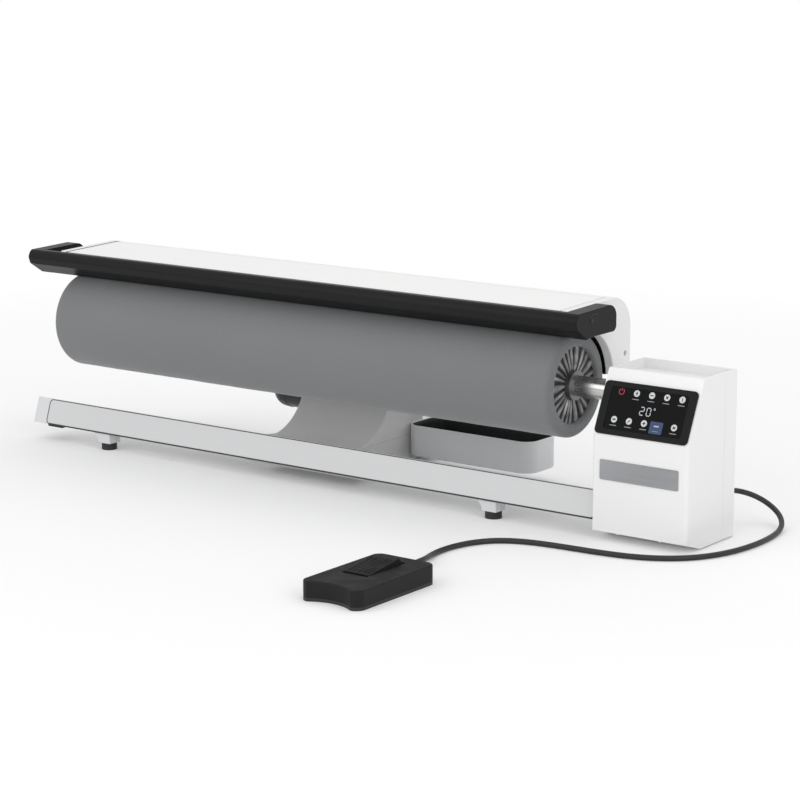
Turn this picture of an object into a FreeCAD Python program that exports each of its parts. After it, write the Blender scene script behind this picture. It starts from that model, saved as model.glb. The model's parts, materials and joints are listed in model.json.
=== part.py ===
import FreeCAD, Part
import math
import os

import Sketcher

# Flatwork ironer: a padded roller turned by a gearmotor in the control box on its right,
# under a heated shoe that hinges on the column behind it, with a pedal on a lead.
# Machine coordinates: x along the roller from its middle, y to the back from the roller's
# axis, z up from the floor.  Every body is shifted so that the origin is under the middle.

Vector = FreeCAD.Vector

# ---------------------------------------------------------------- driving dimensions (mm, degrees)
SIZES = {
    # roller
    "roller_length": 850.0,
    "roller_radius": 68.0,
    "axis_height": 178.5,
    "pad_thickness": 9.0,
    "pad_round": 8.0,
    "mouth_radius": 50.0,
    "drum_wall": 2.0,
    "disc_thickness": 4.0,
    "gather_thickness": 4.0,
    "shaft_radius": 13.5,
    "journal_radius": 10.0,
    "collar_radius": 19.0,
    "collar_width": 10.0,
    "running_gap": 0.05,
    "edge_round": 1.5,
    # control box
    "box_gap": 63.0,
    "box_width": 136.0,
    "box_front": 59.0,
    "box_back": 59.0,
    "box_bottom": 2.0,
    "floor_rise": 8.0,
    "toe_depth": 34.0,
    "toe_height": 10.5,
    "box_rise": 35.0,
    "box_wall": 2.5,
    "box_corner": 5.0,
    "box_edge": 3.0,
    "slope_drop": 78.5,
    "slope_back": 36.0,
    "seam_back": 29.0,
    "pocket_clear": 1.5,
    "pocket_rim": 3.5,
    "pocket_wall": 1.5,
    "pocket_floor": 2.0,
    "floor_plate": 3.0,
    "bezel_thickness": 2.5,
    "bezel_height": 68.0,
    "bezel_width": 132.0,
    "bezel_round": 6.0,
    "bezel_inset": 1.5,
    "glass_side": 11.0,
    "glass_top": 7.0,
    "glass_thickness": 1.5,
    "glass_corner": 4.0,
    "bezel_edge": 0.8,
    "board_thickness": 1.6,
    "name_width": 112.0,
    "name_height": 25.5,
    "name_thickness": 1.0,
    "name_left": 11.0,
    "name_low": 81.8,
    "name_corner": 2.0,
    "inlet_width": 28.0,
    "inlet_height": 20.0,
    "inlet_depth": 15.0,
    "inlet_wall": 2.0,
    "inlet_ears": 10.0,
    "inlet_pin_radius": 1.6,
    "gland_side": 36.0,
    "gland_height": 36.0,
    "gland_radius": 8.0,
    "gland_tip": 5.0,
    # roller drive
    "tie_radius": 3.5,
    "drive_wall": 8.0,
    "drive_gap": 4.0,
    "drive_front": 38.0,
    "drive_back": 42.0,
    "drive_base": 6.0,
    "bearing_radius": 16.0,
    "boss_wall": 3.0,
    "gear_width": 12.0,
    "gear_module": 1.0,
    "shaft_teeth": 36.0,
    "idler_teeth": 48.0,
    "pinion_teeth": 16.0,
    "idler_direction": -80.0,
    "pinion_direction": -100.0,
    "idler_pin_radius": 5.0,
    "motor_radius": 26.0,
    "motor_length": 70.0,
    "motor_flange": 30.0,
    "motor_shaft_radius": 4.0,
    "motor_flange_width": 5.0,
    "motor_stub": 20.0,
    "stub_clear": 2.0,
    "pinion_window": 11.5,
    # front beam, feet and base
    "beam_reach": 460.0,
    "cap_length": 24.0,
    "beam_front": 54.6,
    "beam_lean": 12.2,
    "beam_bottom": 24.5,
    "beam_height": 36.0,
    "beam_depth": 42.0,
    "beam_drop": 10.5,
    "beam_wall": 2.5,
    "foot_radius": 11.0,
    "foot_height": 10.0,
    "foot_left": 345.0,
    "foot_right": 328.0,
    "bracket_reach": 18.0,
    "bracket_curve": 15.0,
    "end_pad_thickness": 5.0,
    "end_pad_length": 28.0,
    "end_pad_inset": 8.0,
    "base_half_width": 76.0,
    "base_flare": 39.0,
    "base_back": 268.0,
    "base_top": 48.5,
    "base_wall": 2.5,
    # column and its lift drive
    "column_curve": 80.0,
    "column_face": 76.0,
    "column_back": 150.0,
    "column_crown": 22.0,
    "column_wall": 3.0,
    "hinge_back": 118.0,
    "hinge_height": 143.0,
    "hinge_radius": 6.0,
    "hinge_boss": 14.0,
    "cheek_inner": 58.0,
    "cheek_wall": 4.0,
    "cheek_front": 84.0,
    "arm_inner": 34.0,
    "arm_wall": 8.0,
    "lift_module": 1.25,
    "sector_teeth": 72.0,
    "lift_teeth": 14.0,
    "lift_direction": -109.4,
    "sector_width": 10.0,
    "lift_motor_radius": 25.0,
    "lift_motor_length": 80.0,
    "lift_motor_dome": 20.0,
    "head_travel": 12.0,
    # heated head
    "shoe_gap": 0.4,
    "shoe_thickness": 6.0,
    "shoe_rear_angle": 3.0,
    "shoe_front_angle": 108.0,
    "heater_thickness": 3.0,
    "heater_span": 9.0,
    "heater_end": 20.0,
    "blanket_thickness": 6.6,
    "blanket_joint": 0.4,
    "head_front": 40.0,
    "head_front_drop": 3.0,
    "head_rise": 36.5,
    "head_round": 42.0,
    "cover_seam": 60.0,
    "head_back": 110.0,
    "head_skirt": 9.5,
    "cover_sheet": 2.0,
    "cover_lip": 12.0,
    "cover_gap": 1.0,
    "side_plate": 12.0,
    "side_gap": 2.1,
    "arm_clear": 6.0,
    "head_beam_depth": 24.0,
    "head_beam_clear": 3.5,
    "head_beam_height": 28.0,
    "rib_width": 4.0,
    "rib_spacing": 200.0,
    "plate_corner": 6.0,
    "thermostat_left": 40.0,
    "thermostat_width": 24.0,
    "thermostat_height": 9.0,
    # guard in front of the shoe
    "guard_gap": 1.5,
    "guard_top_depth": 9.0,
    "guard_round": 13.0,
    "guard_nose_reach": 7.0,
    "guard_nose_drop": 12.0,
    "guard_low_set": 9.0,
    "guard_low_drop": 35.0,
    "guard_left": 460.0,
    "guard_arm_width": 22.0,
    "guard_arm_gap": 1.0,
    "guard_pivot_back": 26.2,
    "guard_pivot_drop": 12.4,
    "guard_pivot_radius": 4.0,
    "guard_arm_back": 38.0,
    "guard_arm_drop": 33.0,
    "guard_bolt_radius": 6.4,
    "guard_bolt_depth": 3.0,
    # storage tray
    "tray_width": 209.0,
    "tray_front": 107.0,
    "tray_depth": 73.0,
    "tray_bottom": 21.0,
    "tray_top": 65.0,
    "tray_wall": 2.5,
    "tray_corner": 21.0,
    "shelf_reach": 150.0,
    "shelf_inset": 12.0,
    "shelf_thickness": 2.5,
    "shelf_root": 9.0,
    # pedal and lead
    "pedal_left": 365.0,
    "pedal_width": 86.0,
    "pedal_front": 487.0,
    "pedal_length": 150.0,
    "pedal_height": 24.0,
    "pedal_base": 4.0,
    "pedal_wall": 2.5,
    "pedal_corner": 12.0,
    "pedal_waist": 9.5,
    "pad_left": 19.0,
    "pad_width": 37.0,
    "pad_front": 59.0,
    "pad_length": 66.0,
    "pad_rise": 8.5,
    "pad_slot": 5.0,
    "pad_gap": 0.5,
    "pad_pin_radius": 3.0,
    "pad_pin_height": 19.0,
    "cord_radius": 3.5,
    "relief_length": 22.0,
    "relief_radius": 6.0,
    "relief_tip": 4.6,
    "relief_across": 33.0,
    "relief_rise": 5.5,
}

document = FreeCAD.newDocument("flatwork_ironer")
sheet = document.addObject("Spreadsheet::Sheet", "sizes")
for row, (word, number) in enumerate(SIZES.items(), start=1):
    sheet.set(f"A{row}", word)
    sheet.set(f"B{row}", str(number))
    sheet.setAlias(f"B{row}", word)
document.recompute()


# ---------------------------------------------------------------- lengths that carry their formula
class Size:
    """A number together with the sheet formula that gives it."""

    def __init__(self, value, formula=None):
        self.value = float(value)
        self.formula = formula or repr(float(value))

    def __add__(self, other):
        other = as_size(other)
        return Size(self.value + other.value, f"({self.formula} + {other.formula})")

    def __sub__(self, other):
        other = as_size(other)
        return Size(self.value - other.value, f"({self.formula} - {other.formula})")

    def __mul__(self, other):
        other = as_size(other)
        return Size(self.value * other.value, f"({self.formula} * {other.formula})")

    def __truediv__(self, other):
        other = as_size(other)
        return Size(self.value / other.value, f"({self.formula} / {other.formula})")

    def __neg__(self):
        return Size(-self.value, f"(-1 * {self.formula})")

    def __radd__(self, other):
        return as_size(other) + self

    def __rsub__(self, other):
        return as_size(other) - self

    def __rmul__(self, other):
        return as_size(other) * self


def as_size(number):
    return number if isinstance(number, Size) else Size(number)


def cosine(angle):
    angle = as_size(angle)
    return Size(math.cos(math.radians(angle.value)), f"cos({angle.formula})")


def sine(angle):
    angle = as_size(angle)
    return Size(math.sin(math.radians(angle.value)), f"sin({angle.formula})")


def root(number):
    return Size(math.sqrt(number.value), f"sqrt({number.formula})")


class Named:
    """The sheet's sizes, each under its own name."""


S = Named()
for word, number in SIZES.items():
    setattr(S, word, Size(number, f"sizes.{word}"))


# ---------------------------------------------------------------- sketched bodies
PLANES = {"X": "YZ_Plane", "Y": "XZ_Plane", "Z": "XY_Plane"}
pieces = []


def circle(across, up, radius):
    return ("circle", as_size(across), as_size(up), as_size(radius))


def near(number, size):
    """True where a number is the given size, to a hundredth."""
    return abs(number - size.value) < 0.01


def runs_along(edge, axis):
    """True for a straight edge along the named axis."""
    return isinstance(edge.Curve, Part.Line) and abs(getattr(edge.Curve.Direction, axis)) > 0.999


def is_hole(edge, limit):
    """True for a round edge no larger than the limit."""
    return isinstance(edge.Curve, Part.Circle) and edge.Curve.Radius < limit


def rectangle(left, low, right, high):
    return [(left, low), (right, low), (right, high), (left, high)]


def rounded(left, low, right, high, radius):
    """Rectangle with four equal corners, drawn anticlockwise."""
    return [
        (left + radius, low), (right - radius, low, radius),
        (right, low + radius), (right, high - radius, radius),
        (right - radius, high), (left + radius, high, radius),
        (left, high - radius), (left, low + radius, radius),
    ]


def arc_between(start, end, radius):
    """Arc of a circle whose centre is left of start-to-end, or right of it for a negative radius."""
    middle = (start + end) * 0.5
    along = end - start
    rise = math.sqrt(max(radius * radius - along.Length ** 2 / 4.0, 0.0))
    side = Vector(-along.y, along.x, 0).normalize() * (rise if radius > 0 else -rise)
    centre = middle + side
    first = math.atan2(start.y - centre.y, start.x - centre.x)
    last = math.atan2(end.y - centre.y, end.x - centre.x)
    ring = Part.Circle(centre, Vector(0, 0, 1), abs(radius))
    if radius > 0:
        return Part.ArcOfCircle(ring, first, last), True
    return Part.ArcOfCircle(ring, last, first), False


class Piece:
    """One sub-part: a body of sketched features, drawn in machine coordinates."""

    def __init__(self, label):
        self.body = document.addObject("PartDesign::Body", label)
        self.body.Label = label
        self.body.AllowCompound = True
        pieces.append(self.body)

    def sketch(self, axis, loops, offset, tilt=None, lift=None):
        drawing = self.body.newObject("Sketcher::SketchObject", self.body.Label + "_sketch")
        role = PLANES[axis]
        plane = [item for item in self.body.Origin.OriginFeatures if item.Role == role][0]
        drawing.AttachmentSupport = [(plane, "")]
        drawing.MapMode = "FlatFace"
        away = -as_size(offset) if axis == "Y" else as_size(offset)
        turned = FreeCAD.Rotation(Vector(1, 0, 0), tilt.value if tilt else 0.0)
        drawing.AttachmentOffset = FreeCAD.Placement(Vector(0, 0, away.value), turned)
        drawing.setExpression("AttachmentOffset.Base.z", away.formula)
        if lift is not None:
            drawing.setExpression("AttachmentOffset.Base.y", as_size(lift).formula)
        if tilt is not None:
            drawing.setExpression("AttachmentOffset.Rotation.Angle", tilt.formula)
        for loop in loops:
            if loop[0] == "circle":
                self.draw_circle(drawing, *loop[1:])
            else:
                self.draw_loop(drawing, loop)
        return drawing

    @staticmethod
    def fix(drawing, kind, places, size):
        index = drawing.addConstraint(Sketcher.Constraint(kind, *places, size.value))
        drawing.setExpression(f"Constraints[{index}]", size.formula)

    def draw_circle(self, drawing, across, up, radius):
        centre = Vector(across.value, up.value, 0)
        index = drawing.addGeometry(Part.Circle(centre, Vector(0, 0, 1), radius.value), False)
        self.fix(drawing, "DistanceX", (-1, 1, index, 3), across)
        self.fix(drawing, "DistanceY", (-1, 1, index, 3), up)
        self.fix(drawing, "Radius", (index,), radius)

    def draw_loop(self, drawing, loop):
        corners = [tuple(as_size(item) for item in corner) for corner in loop]
        spots = [Vector(corner[0].value, corner[1].value, 0) for corner in corners]
        ends = []
        for number, corner in enumerate(corners):
            start, end = spots[number], spots[(number + 1) % len(spots)]
            forward = True
            edge = Part.LineSegment(start, end)
            if len(corner) == 3:
                edge, forward = arc_between(start, end, corner[2].value)
            index = drawing.addGeometry(edge, False)
            ends.append((index, 1, 2) if forward else (index, 2, 1))
        for number, (index, _, last) in enumerate(ends):
            following = ends[(number + 1) % len(ends)]
            drawing.addConstraint(
                Sketcher.Constraint("Coincident", index, last, following[0], following[1]))
        for (index, first, _), corner in zip(ends, corners):
            self.fix(drawing, "DistanceX", (-1, 1, index, first), corner[0])
            self.fix(drawing, "DistanceY", (-1, 1, index, first), corner[1])
            if len(corner) == 3:
                size = corner[2]
                self.fix(drawing, "Radius", (index,), size if size.value > 0 else -size)

    def pad(self, axis, start, length, *loops, **placing):
        """Material from start to start + length along the axis."""
        feature = self.body.newObject("PartDesign::Pad", self.body.Label + "_pad")
        feature.Profile = self.sketch(axis, loops, start, **placing)
        self.finish(feature, length, reversed_side=(axis == "Y" and "tilt" not in placing))
        return self

    def cut(self, axis, start, length, *loops, **placing):
        """Removes start to start + length along the axis, and stops if nothing was there."""
        document.recompute()
        before = self.body.Shape.Volume
        feature = self.body.newObject("PartDesign::Pocket", self.body.Label + "_cut")
        feature.Profile = self.sketch(axis, loops, start, **placing)
        self.finish(feature, length, reversed_side=(axis != "Y"))
        document.recompute()
        if self.body.Shape.Volume >= before - 1e-6:
            raise ValueError(f"{self.body.Label}: a cut removed nothing")
        return self

    def turn(self, up, loop):
        """Material turned about the line along x at y = 0 and the given height."""
        feature = self.body.newObject("PartDesign::Revolution", self.body.Label + "_turn")
        drawing = self.sketch("Y", [loop], 0, lift=up)
        feature.Profile = drawing
        feature.ReferenceAxis = (drawing, ["H_Axis"])
        feature.Angle = 360.0
        return self

    def hollow(self, wall, test):
        """Keeps a wall all round and opens the faces that the test picks by their middle and normal."""
        document.recompute()
        solid = self.body.Tip
        names = []
        for number, face in enumerate(solid.Shape.Faces, start=1):
            normal = face.normalAt(*face.Surface.parameter(face.CenterOfMass))
            if test(face.CenterOfMass, normal):
                names.append(f"Face{number}")
        feature = self.body.newObject("PartDesign::Thickness", self.body.Label + "_wall")
        feature.Base = (solid, names)
        feature.setExpression("Value", wall.formula)
        feature.Reversed = True
        feature.Mode = 0
        feature.Join = 1
        self.body.Tip = feature
        return self

    def soften(self, radius, test):
        """Rounds the edges that the test picks by their shape and middle."""
        document.recompute()
        solid = self.body.Tip
        names = [f"Edge{number}" for number, edge in enumerate(solid.Shape.Edges, start=1)
                 if test(edge, edge.CenterOfMass)]
        feature = self.body.newObject("PartDesign::Fillet", self.body.Label + "_round")
        feature.Base = (solid, names)
        feature.setExpression("Radius", as_size(radius).formula)
        self.body.Tip = feature
        return self

    @staticmethod
    def finish(feature, length, reversed_side):
        feature.setExpression("Length", as_size(length).formula)
        feature.Reversed = reversed_side


class Shaped:
    """A sub-part whose outline comes from a formula, held as a plain shape."""

    def __init__(self, label, shape):
        self.body = document.addObject("Part::Feature", label)
        self.body.Label = label
        self.body.Shape = shape
        pieces.append(self.body)


# ---------------------------------------------------------------- places worked out from the sizes
half_length = S.roller_length / 2
drum_radius = S.roller_radius - S.pad_thickness
drum_half = half_length - S.pad_thickness
box_left = half_length + S.box_gap
box_right = box_left + S.box_width
box_top = S.axis_height + S.box_rise
box_height = box_top - S.box_bottom
floor_low = S.box_bottom + S.floor_rise
floor_high = floor_low + S.floor_plate
slope_break = box_top - S.slope_drop
slope_front = -S.box_front + S.slope_back
beam_back = S.beam_depth - S.beam_front
beam_top = S.beam_bottom + S.beam_height
machine_left = S.beam_reach + S.cap_length
tray_back = S.tray_front + S.tray_depth
column_top = S.hinge_height + S.column_crown
head_top = S.axis_height + S.roller_radius + S.head_rise
head_front_top = head_top - S.head_front_drop
head_bottom = S.axis_height + S.head_skirt
origin_x = (box_right - machine_left) / 2
origin_y = (S.base_back - S.pedal_front) / 2


# ---------------------------------------------------------------- roller
def build_roller():
    up = S.axis_height
    (Piece("roller_drum")
     .pad("X", -drum_half, drum_half * 2, circle(0, up, drum_radius),
          circle(0, up, drum_radius - S.drum_wall)))
    Piece("roller_padding").turn(up, [
        (-half_length, S.mouth_radius), (-drum_half, S.mouth_radius),
        (-drum_half, drum_radius), (drum_half, drum_radius),
        (drum_half, S.mouth_radius), (half_length, S.mouth_radius),
        (half_length, S.roller_radius - S.pad_round, S.pad_round),
        (half_length - S.pad_round, S.roller_radius),
        (-half_length + S.pad_round, S.roller_radius, S.pad_round),
        (-half_length, S.roller_radius - S.pad_round),
    ])
    disc = (circle(0, up, drum_radius - S.drum_wall), circle(0, up, S.shaft_radius))
    (Piece("end_discs")
     .pad("X", drum_half - S.disc_thickness, S.disc_thickness, *disc)
     .pad("X", -drum_half, S.disc_thickness, *disc))
    gather = (circle(0, up, S.mouth_radius), circle(0, up, S.collar_radius))
    (Piece("gathered_covers")
     .pad("X", drum_half, S.gather_thickness, *gather)
     .pad("X", -drum_half - S.gather_thickness, S.gather_thickness, *gather))
    ring = (circle(0, up, S.collar_radius), circle(0, up, S.shaft_radius))
    (Piece("hub_collars")
     .pad("X", drum_half, S.collar_width, *ring)
     .pad("X", -drum_half - S.collar_width, S.collar_width, *ring))
    shaft_left = -drum_half - S.collar_width + 2
    shoulder = box_left - 0.5
    (Piece("roller_shaft")
     .pad("X", shaft_left, shoulder - shaft_left, circle(0, up, S.shaft_radius))
     .pad("X", shoulder, plate_right_end() + 2 - shoulder, circle(0, up, S.journal_radius)))


# ---------------------------------------------------------------- roller drive in the box
def plate_left_start():
    return box_left + S.box_wall


def gear_start():
    return plate_left_start() + S.drive_wall + S.drive_gap


def plate_right_start():
    return gear_start() + S.gear_width + S.drive_gap


def plate_right_end():
    return plate_right_start() + S.drive_wall


def gear_distance(first, second, module):
    return (first + second) * module / 2


idler_reach = gear_distance(S.shaft_teeth, S.idler_teeth, S.gear_module)
pinion_reach = gear_distance(S.idler_teeth, S.pinion_teeth, S.gear_module)
idler_y = idler_reach * cosine(S.idler_direction)
idler_z = S.axis_height + idler_reach * sine(S.idler_direction)
pinion_y = idler_y + pinion_reach * cosine(S.pinion_direction)
pinion_z = idler_z + pinion_reach * sine(S.pinion_direction)


def build_drive():
    up = S.axis_height
    boss = S.bearing_radius + S.boss_wall
    floor = floor_high
    outline = [
        (-S.drive_front, floor), (S.drive_back, floor), (S.drive_back, idler_z),
        (boss, up, boss), (0, up + boss, boss), (-boss, up), (-S.drive_front, idler_z - 10),
    ]
    bearing = circle(0, up, S.bearing_radius)
    pin = circle(idler_y, idler_z, S.idler_pin_radius)
    inside = plate_right_start() - plate_left_start() - S.drive_wall
    (Piece("drive_frame")
     .pad("X", plate_left_start(), S.drive_wall, outline, bearing, pin)
     .pad("X", plate_right_start(), S.drive_wall, outline, bearing, pin,
          circle(pinion_y, pinion_z, S.pinion_window))
     .pad("X", plate_left_start() + S.drive_wall, inside,
          rectangle(-S.drive_front, floor, S.drive_back, floor + S.drive_base)))
    race = (circle(0, up, S.bearing_radius), circle(0, up, S.journal_radius + S.running_gap))
    (Piece("shaft_bearings")
     .pad("X", plate_left_start(), S.drive_wall, *race)
     .pad("X", plate_right_start(), S.drive_wall, *race))
    (Piece("idler_pin")
     .pad("X", plate_left_start(), plate_right_end() - plate_left_start(),
          circle(idler_y, idler_z, S.idler_pin_radius)))
    motor = plate_right_end()
    bore = circle(pinion_y, pinion_z, S.motor_shaft_radius + S.running_gap)
    (Piece("roller_motor")
     .pad("X", motor, S.motor_flange_width, circle(pinion_y, pinion_z, S.motor_flange))
     .pad("X", motor + S.motor_flange_width, S.motor_length - S.motor_flange_width,
          circle(pinion_y, pinion_z, S.motor_radius))
     .cut("X", motor, S.motor_stub + S.stub_clear, bore))


# ---------------------------------------------------------------- toothed wheels
def involute(angle):
    return math.tan(angle) - angle


PRESSURE_ANGLE = math.radians(20.0)
BACKLASH = 0.18          # total thinning of each tooth on the pitch circle
DEDENDUM = 1.25          # root depth in modules


def tooth_points(teeth, module):
    """Radius and half angle of one flank at its foot, middle and tip."""
    pitch = teeth * module / 2
    base = pitch * math.cos(PRESSURE_ANGLE)
    low = max(base + 0.01, pitch - DEDENDUM * module)
    tip = pitch + module
    half = (math.pi * module / 2 - BACKLASH) / (2 * pitch) + involute(PRESSURE_ANGLE)
    flank = []
    for radius in (low, (low + tip) / 2, tip):
        flank.append((radius, half - involute(math.acos(min(1.0, base / radius)))))
    return pitch - DEDENDUM * module, flank


def polar(centre, radius, angle):
    return centre + Vector(0, radius * math.cos(angle), radius * math.sin(angle))


def tooth_edges(centre, teeth, module, middle):
    """Edges of one tooth, from its root before to its root after, anticlockwise."""
    foot, flank = tooth_points(teeth, module)
    rising = [polar(centre, radius, middle - half) for radius, half in flank]
    falling = [polar(centre, radius, middle + half) for radius, half in reversed(flank)]
    half_foot = flank[0][1]
    start = polar(centre, foot, middle - half_foot)
    end = polar(centre, foot, middle + half_foot)
    tip = polar(centre, flank[-1][0], middle)
    edges = []
    if (rising[0] - start).Length > 1e-3:
        edges.append(Part.LineSegment(start, rising[0]).toShape())
    edges.append(Part.Arc(*rising).toShape())
    edges.append(Part.Arc(rising[-1], tip, falling[0]).toShape())
    edges.append(Part.Arc(*falling).toShape())
    if (falling[-1] - end).Length > 1e-3:
        edges.append(Part.LineSegment(falling[-1], end).toShape())
    return start, edges, end


def gear_face(centre, teeth, module, phase):
    """Whole wheel with a tooth's middle at the phase, in radians."""
    foot = tooth_points(teeth, module)[0]
    step = 2 * math.pi / teeth
    tooth = [tooth_edges(centre, teeth, module, phase + step * number)
             for number in range(int(teeth))]
    edges = []
    for number, (_, own, end) in enumerate(tooth):
        following = tooth[(number + 1) % len(tooth)][0]
        between = polar(centre, foot, phase + step * (number + 0.5))
        edges += own
        edges.append(Part.Arc(end, between, following).toShape())
    return Part.Face(Part.Wire(edges))


def disc(centre, radius):
    return Part.Face(Part.Wire(Part.makeCircle(radius, centre, Vector(1, 0, 0))))


def meshing_phase(direction, first_teeth, first_phase, second_teeth):
    """Phase that puts the second wheel in mesh with the first, which it meets in this direction."""
    share = first_teeth / second_teeth
    return direction + math.pi - share * (first_phase - direction) - math.pi / second_teeth


def build_gears():
    module = S.gear_module.value
    start = gear_start().value
    wide = Vector(S.gear_width.value, 0, 0)
    first = math.radians(S.idler_direction.value)
    second = math.radians(S.pinion_direction.value)
    teeth = [S.shaft_teeth.value, S.idler_teeth.value, S.pinion_teeth.value]
    shaft_centre = Vector(start, 0, S.axis_height.value)
    idler_centre = Vector(start, idler_y.value, idler_z.value)
    pinion_centre = Vector(start, pinion_y.value, pinion_z.value)
    shaft_phase = first
    idler_phase = meshing_phase(first, teeth[0], shaft_phase, teeth[1])
    pinion_phase = meshing_phase(second, teeth[1], idler_phase, teeth[2])
    wheel = gear_face(shaft_centre, teeth[0], module, shaft_phase)
    wheel = wheel.cut(disc(shaft_centre, S.journal_radius.value))
    Shaped("shaft_gear", wheel.extrude(wide))
    wheel = gear_face(idler_centre, teeth[1], module, idler_phase)
    wheel = wheel.cut(disc(idler_centre, S.idler_pin_radius.value + S.running_gap.value))
    Shaped("idler_gear", wheel.extrude(wide))
    wheel = gear_face(pinion_centre, teeth[2], module, pinion_phase).extrude(wide)
    reach = (plate_right_end() + S.motor_stub).value - start
    stem = Part.makeCylinder(S.motor_shaft_radius.value, reach, pinion_centre, Vector(1, 0, 0))
    Shaped("motor_pinion", wheel.fuse(stem).removeSplitter())


# ---------------------------------------------------------------- control box
def box_plan(inset, front, back, corner, edge_front, edge_back):
    """Plan of the box between two depths, with the big corner at the front right."""
    left, right = box_left + inset, box_right - inset
    return [
        (left + edge_front, front), (right - corner, front, corner),
        (right, front + corner), (right, back - edge_back, edge_back),
        (right - edge_back, back), (left + edge_back, back, edge_back),
        (left, back - edge_back), (left, front + edge_front, edge_front),
    ]


def build_box():
    wall = S.box_wall
    bottom = S.box_bottom
    front_plan = [
        (box_left + S.box_edge, -S.box_front), (box_right - S.box_corner, -S.box_front, S.box_corner),
        (box_right, S.box_corner - S.box_front), (box_right, S.seam_back),
        (box_left, S.seam_back), (box_left, S.box_edge - S.box_front, S.box_edge),
    ]
    slope_waste = [(-S.box_front, slope_break), (slope_front, box_top), (-S.box_front, box_top)]
    toe_waste = [(-S.box_front, bottom), (S.toe_depth - S.box_front, bottom),
                 (-S.box_front, bottom + S.toe_height)]
    mouth = rectangle(box_left + S.pocket_rim, slope_front + S.pocket_rim,
                      box_right - S.pocket_rim, S.seam_back)
    (Piece("box_front_shell")
     .pad("Z", bottom, box_height, front_plan)
     .cut("X", box_left, S.box_width, slope_waste)
     .cut("X", box_left, S.box_width, toe_waste)
     .hollow(wall, lambda middle, normal: normal.z < -0.99 or normal.y > 0.9)
     .cut("Z", box_top - wall, wall, mouth)
     .cut("X", box_left, wall, circle(0, S.axis_height, S.journal_radius + 1))
     .soften(S.edge_round, lambda edge, middle: near(middle.z, box_top) and (
         near(middle.x, box_left) or near(middle.x, box_right) or near(middle.y, slope_front))))
    rear_plan = [
        (box_left, S.seam_back), (box_right, S.seam_back),
        (box_right, S.box_back - S.box_edge, S.box_edge), (box_right - S.box_edge, S.box_back),
        (box_left + S.box_edge, S.box_back, S.box_edge), (box_left, S.box_back - S.box_edge),
    ]
    rear_mouth = rectangle(box_left + S.pocket_rim, S.seam_back,
                           box_right - S.pocket_rim, S.box_back - S.pocket_rim)
    inlet = inlet_opening()
    (Piece("box_rear_shell")
     .pad("Z", bottom, box_height, rear_plan)
     .hollow(wall, lambda middle, normal: normal.z < -0.9 or normal.y < -0.9)
     .cut("Z", box_top - wall, wall, rear_mouth)
     .soften(S.edge_round, lambda edge, middle: near(middle.z, box_top) and (
         near(middle.x, box_left) or near(middle.x, box_right) or near(middle.y, S.box_back)))
     .cut("Y", S.box_back - wall, wall, inlet, circle(gland_x, gland_z, S.cord_radius + 2)))
    toe_run = S.toe_depth / S.toe_height
    Piece("box_floor").pad("Z", floor_low, S.floor_plate, [
        (box_left + wall, toe_line() - S.floor_rise * toe_run),
        (box_right - wall, toe_line() - S.floor_rise * toe_run),
        (box_right - wall, S.box_back - S.box_edge, S.box_edge - wall),
        (box_right - S.box_edge, S.box_back - wall),
        (box_left + S.box_edge, S.box_back - wall, S.box_edge - wall),
        (box_left + wall, S.box_back - S.box_edge),
    ])
    base = S.axis_height + S.bearing_radius + S.boss_wall + S.pocket_clear
    floor = base + S.pocket_floor
    depth = box_top - floor
    left, right = box_left + S.pocket_rim, box_right - S.pocket_rim
    front, back = slope_front + S.pocket_rim, S.box_back - S.pocket_rim
    thin = S.pocket_wall
    (Piece("top_pocket")
     .pad("Z", base, depth + S.pocket_floor, rectangle(left, front, right, back))
     .cut("Z", floor, depth, rectangle(left + thin, front + thin, right - thin, back - thin)))


def toe_line():
    """Where the inside of the bevelled toe meets the level of the box's lower edge."""
    ratio = S.toe_depth / S.toe_height
    return S.toe_depth - S.box_front + S.box_wall * root(ratio * ratio + 1)


gland_x = box_right - S.gland_side
gland_z = floor_low + S.gland_height
inlet_x = box_left + 42
inlet_z = floor_low + 40


def inlet_opening():
    across, up = S.inlet_width / 2, S.inlet_height / 2
    return rectangle(inlet_x - across, inlet_z - up, inlet_x + across, inlet_z + up)


def build_panel():
    lean = slope_lean()
    place = {"tilt": lean, "lift": slope_break}
    left = box_left + S.bezel_inset
    right = left + S.bezel_width
    low, high = S.bezel_inset, S.bezel_inset + S.bezel_height
    window = rounded(left + S.glass_side, low + S.glass_top, right - S.glass_side,
                     high - S.glass_top, S.glass_corner)
    bezel = Piece("control_bezel")
    tilted_pad(bezel, place, as_size(0), S.bezel_thickness,
               rounded(left, low, right, high, S.bezel_round), window)
    bezel.soften(S.bezel_edge, lambda edge, middle: True)
    tilted_pad(Piece("control_glass"), place, as_size(0), S.glass_thickness, window)
    board = Piece("circuit_boards")
    depth = S.box_wall + S.board_thickness
    tilted_pad(board, place, -depth, S.board_thickness,
               rectangle(left + 12, low + 8, box_right - 36, high - 6))
    board.pad("Y", S.seam_back + 14, S.board_thickness,
              rectangle(inlet_x + 20, floor_high,
                        box_right - S.box_wall - 4, S.axis_height - 20))
    name_left = box_left + S.name_left
    name_low = floor_low + S.name_low
    (Piece("nameplate")
     .pad("Y", -S.box_front - S.name_thickness, S.name_thickness,
          rounded(name_left, name_low - S.name_height / 2, name_left + S.name_width,
                  name_low + S.name_height / 2, S.name_corner)))


def slope_lean():
    """Angle by which the sloping panel leans back from upright."""
    ratio = S.slope_back / (box_top - slope_break)
    return Size(-math.degrees(math.atan(ratio.value)), f"(-1 * atan({ratio.formula}))")


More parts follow.
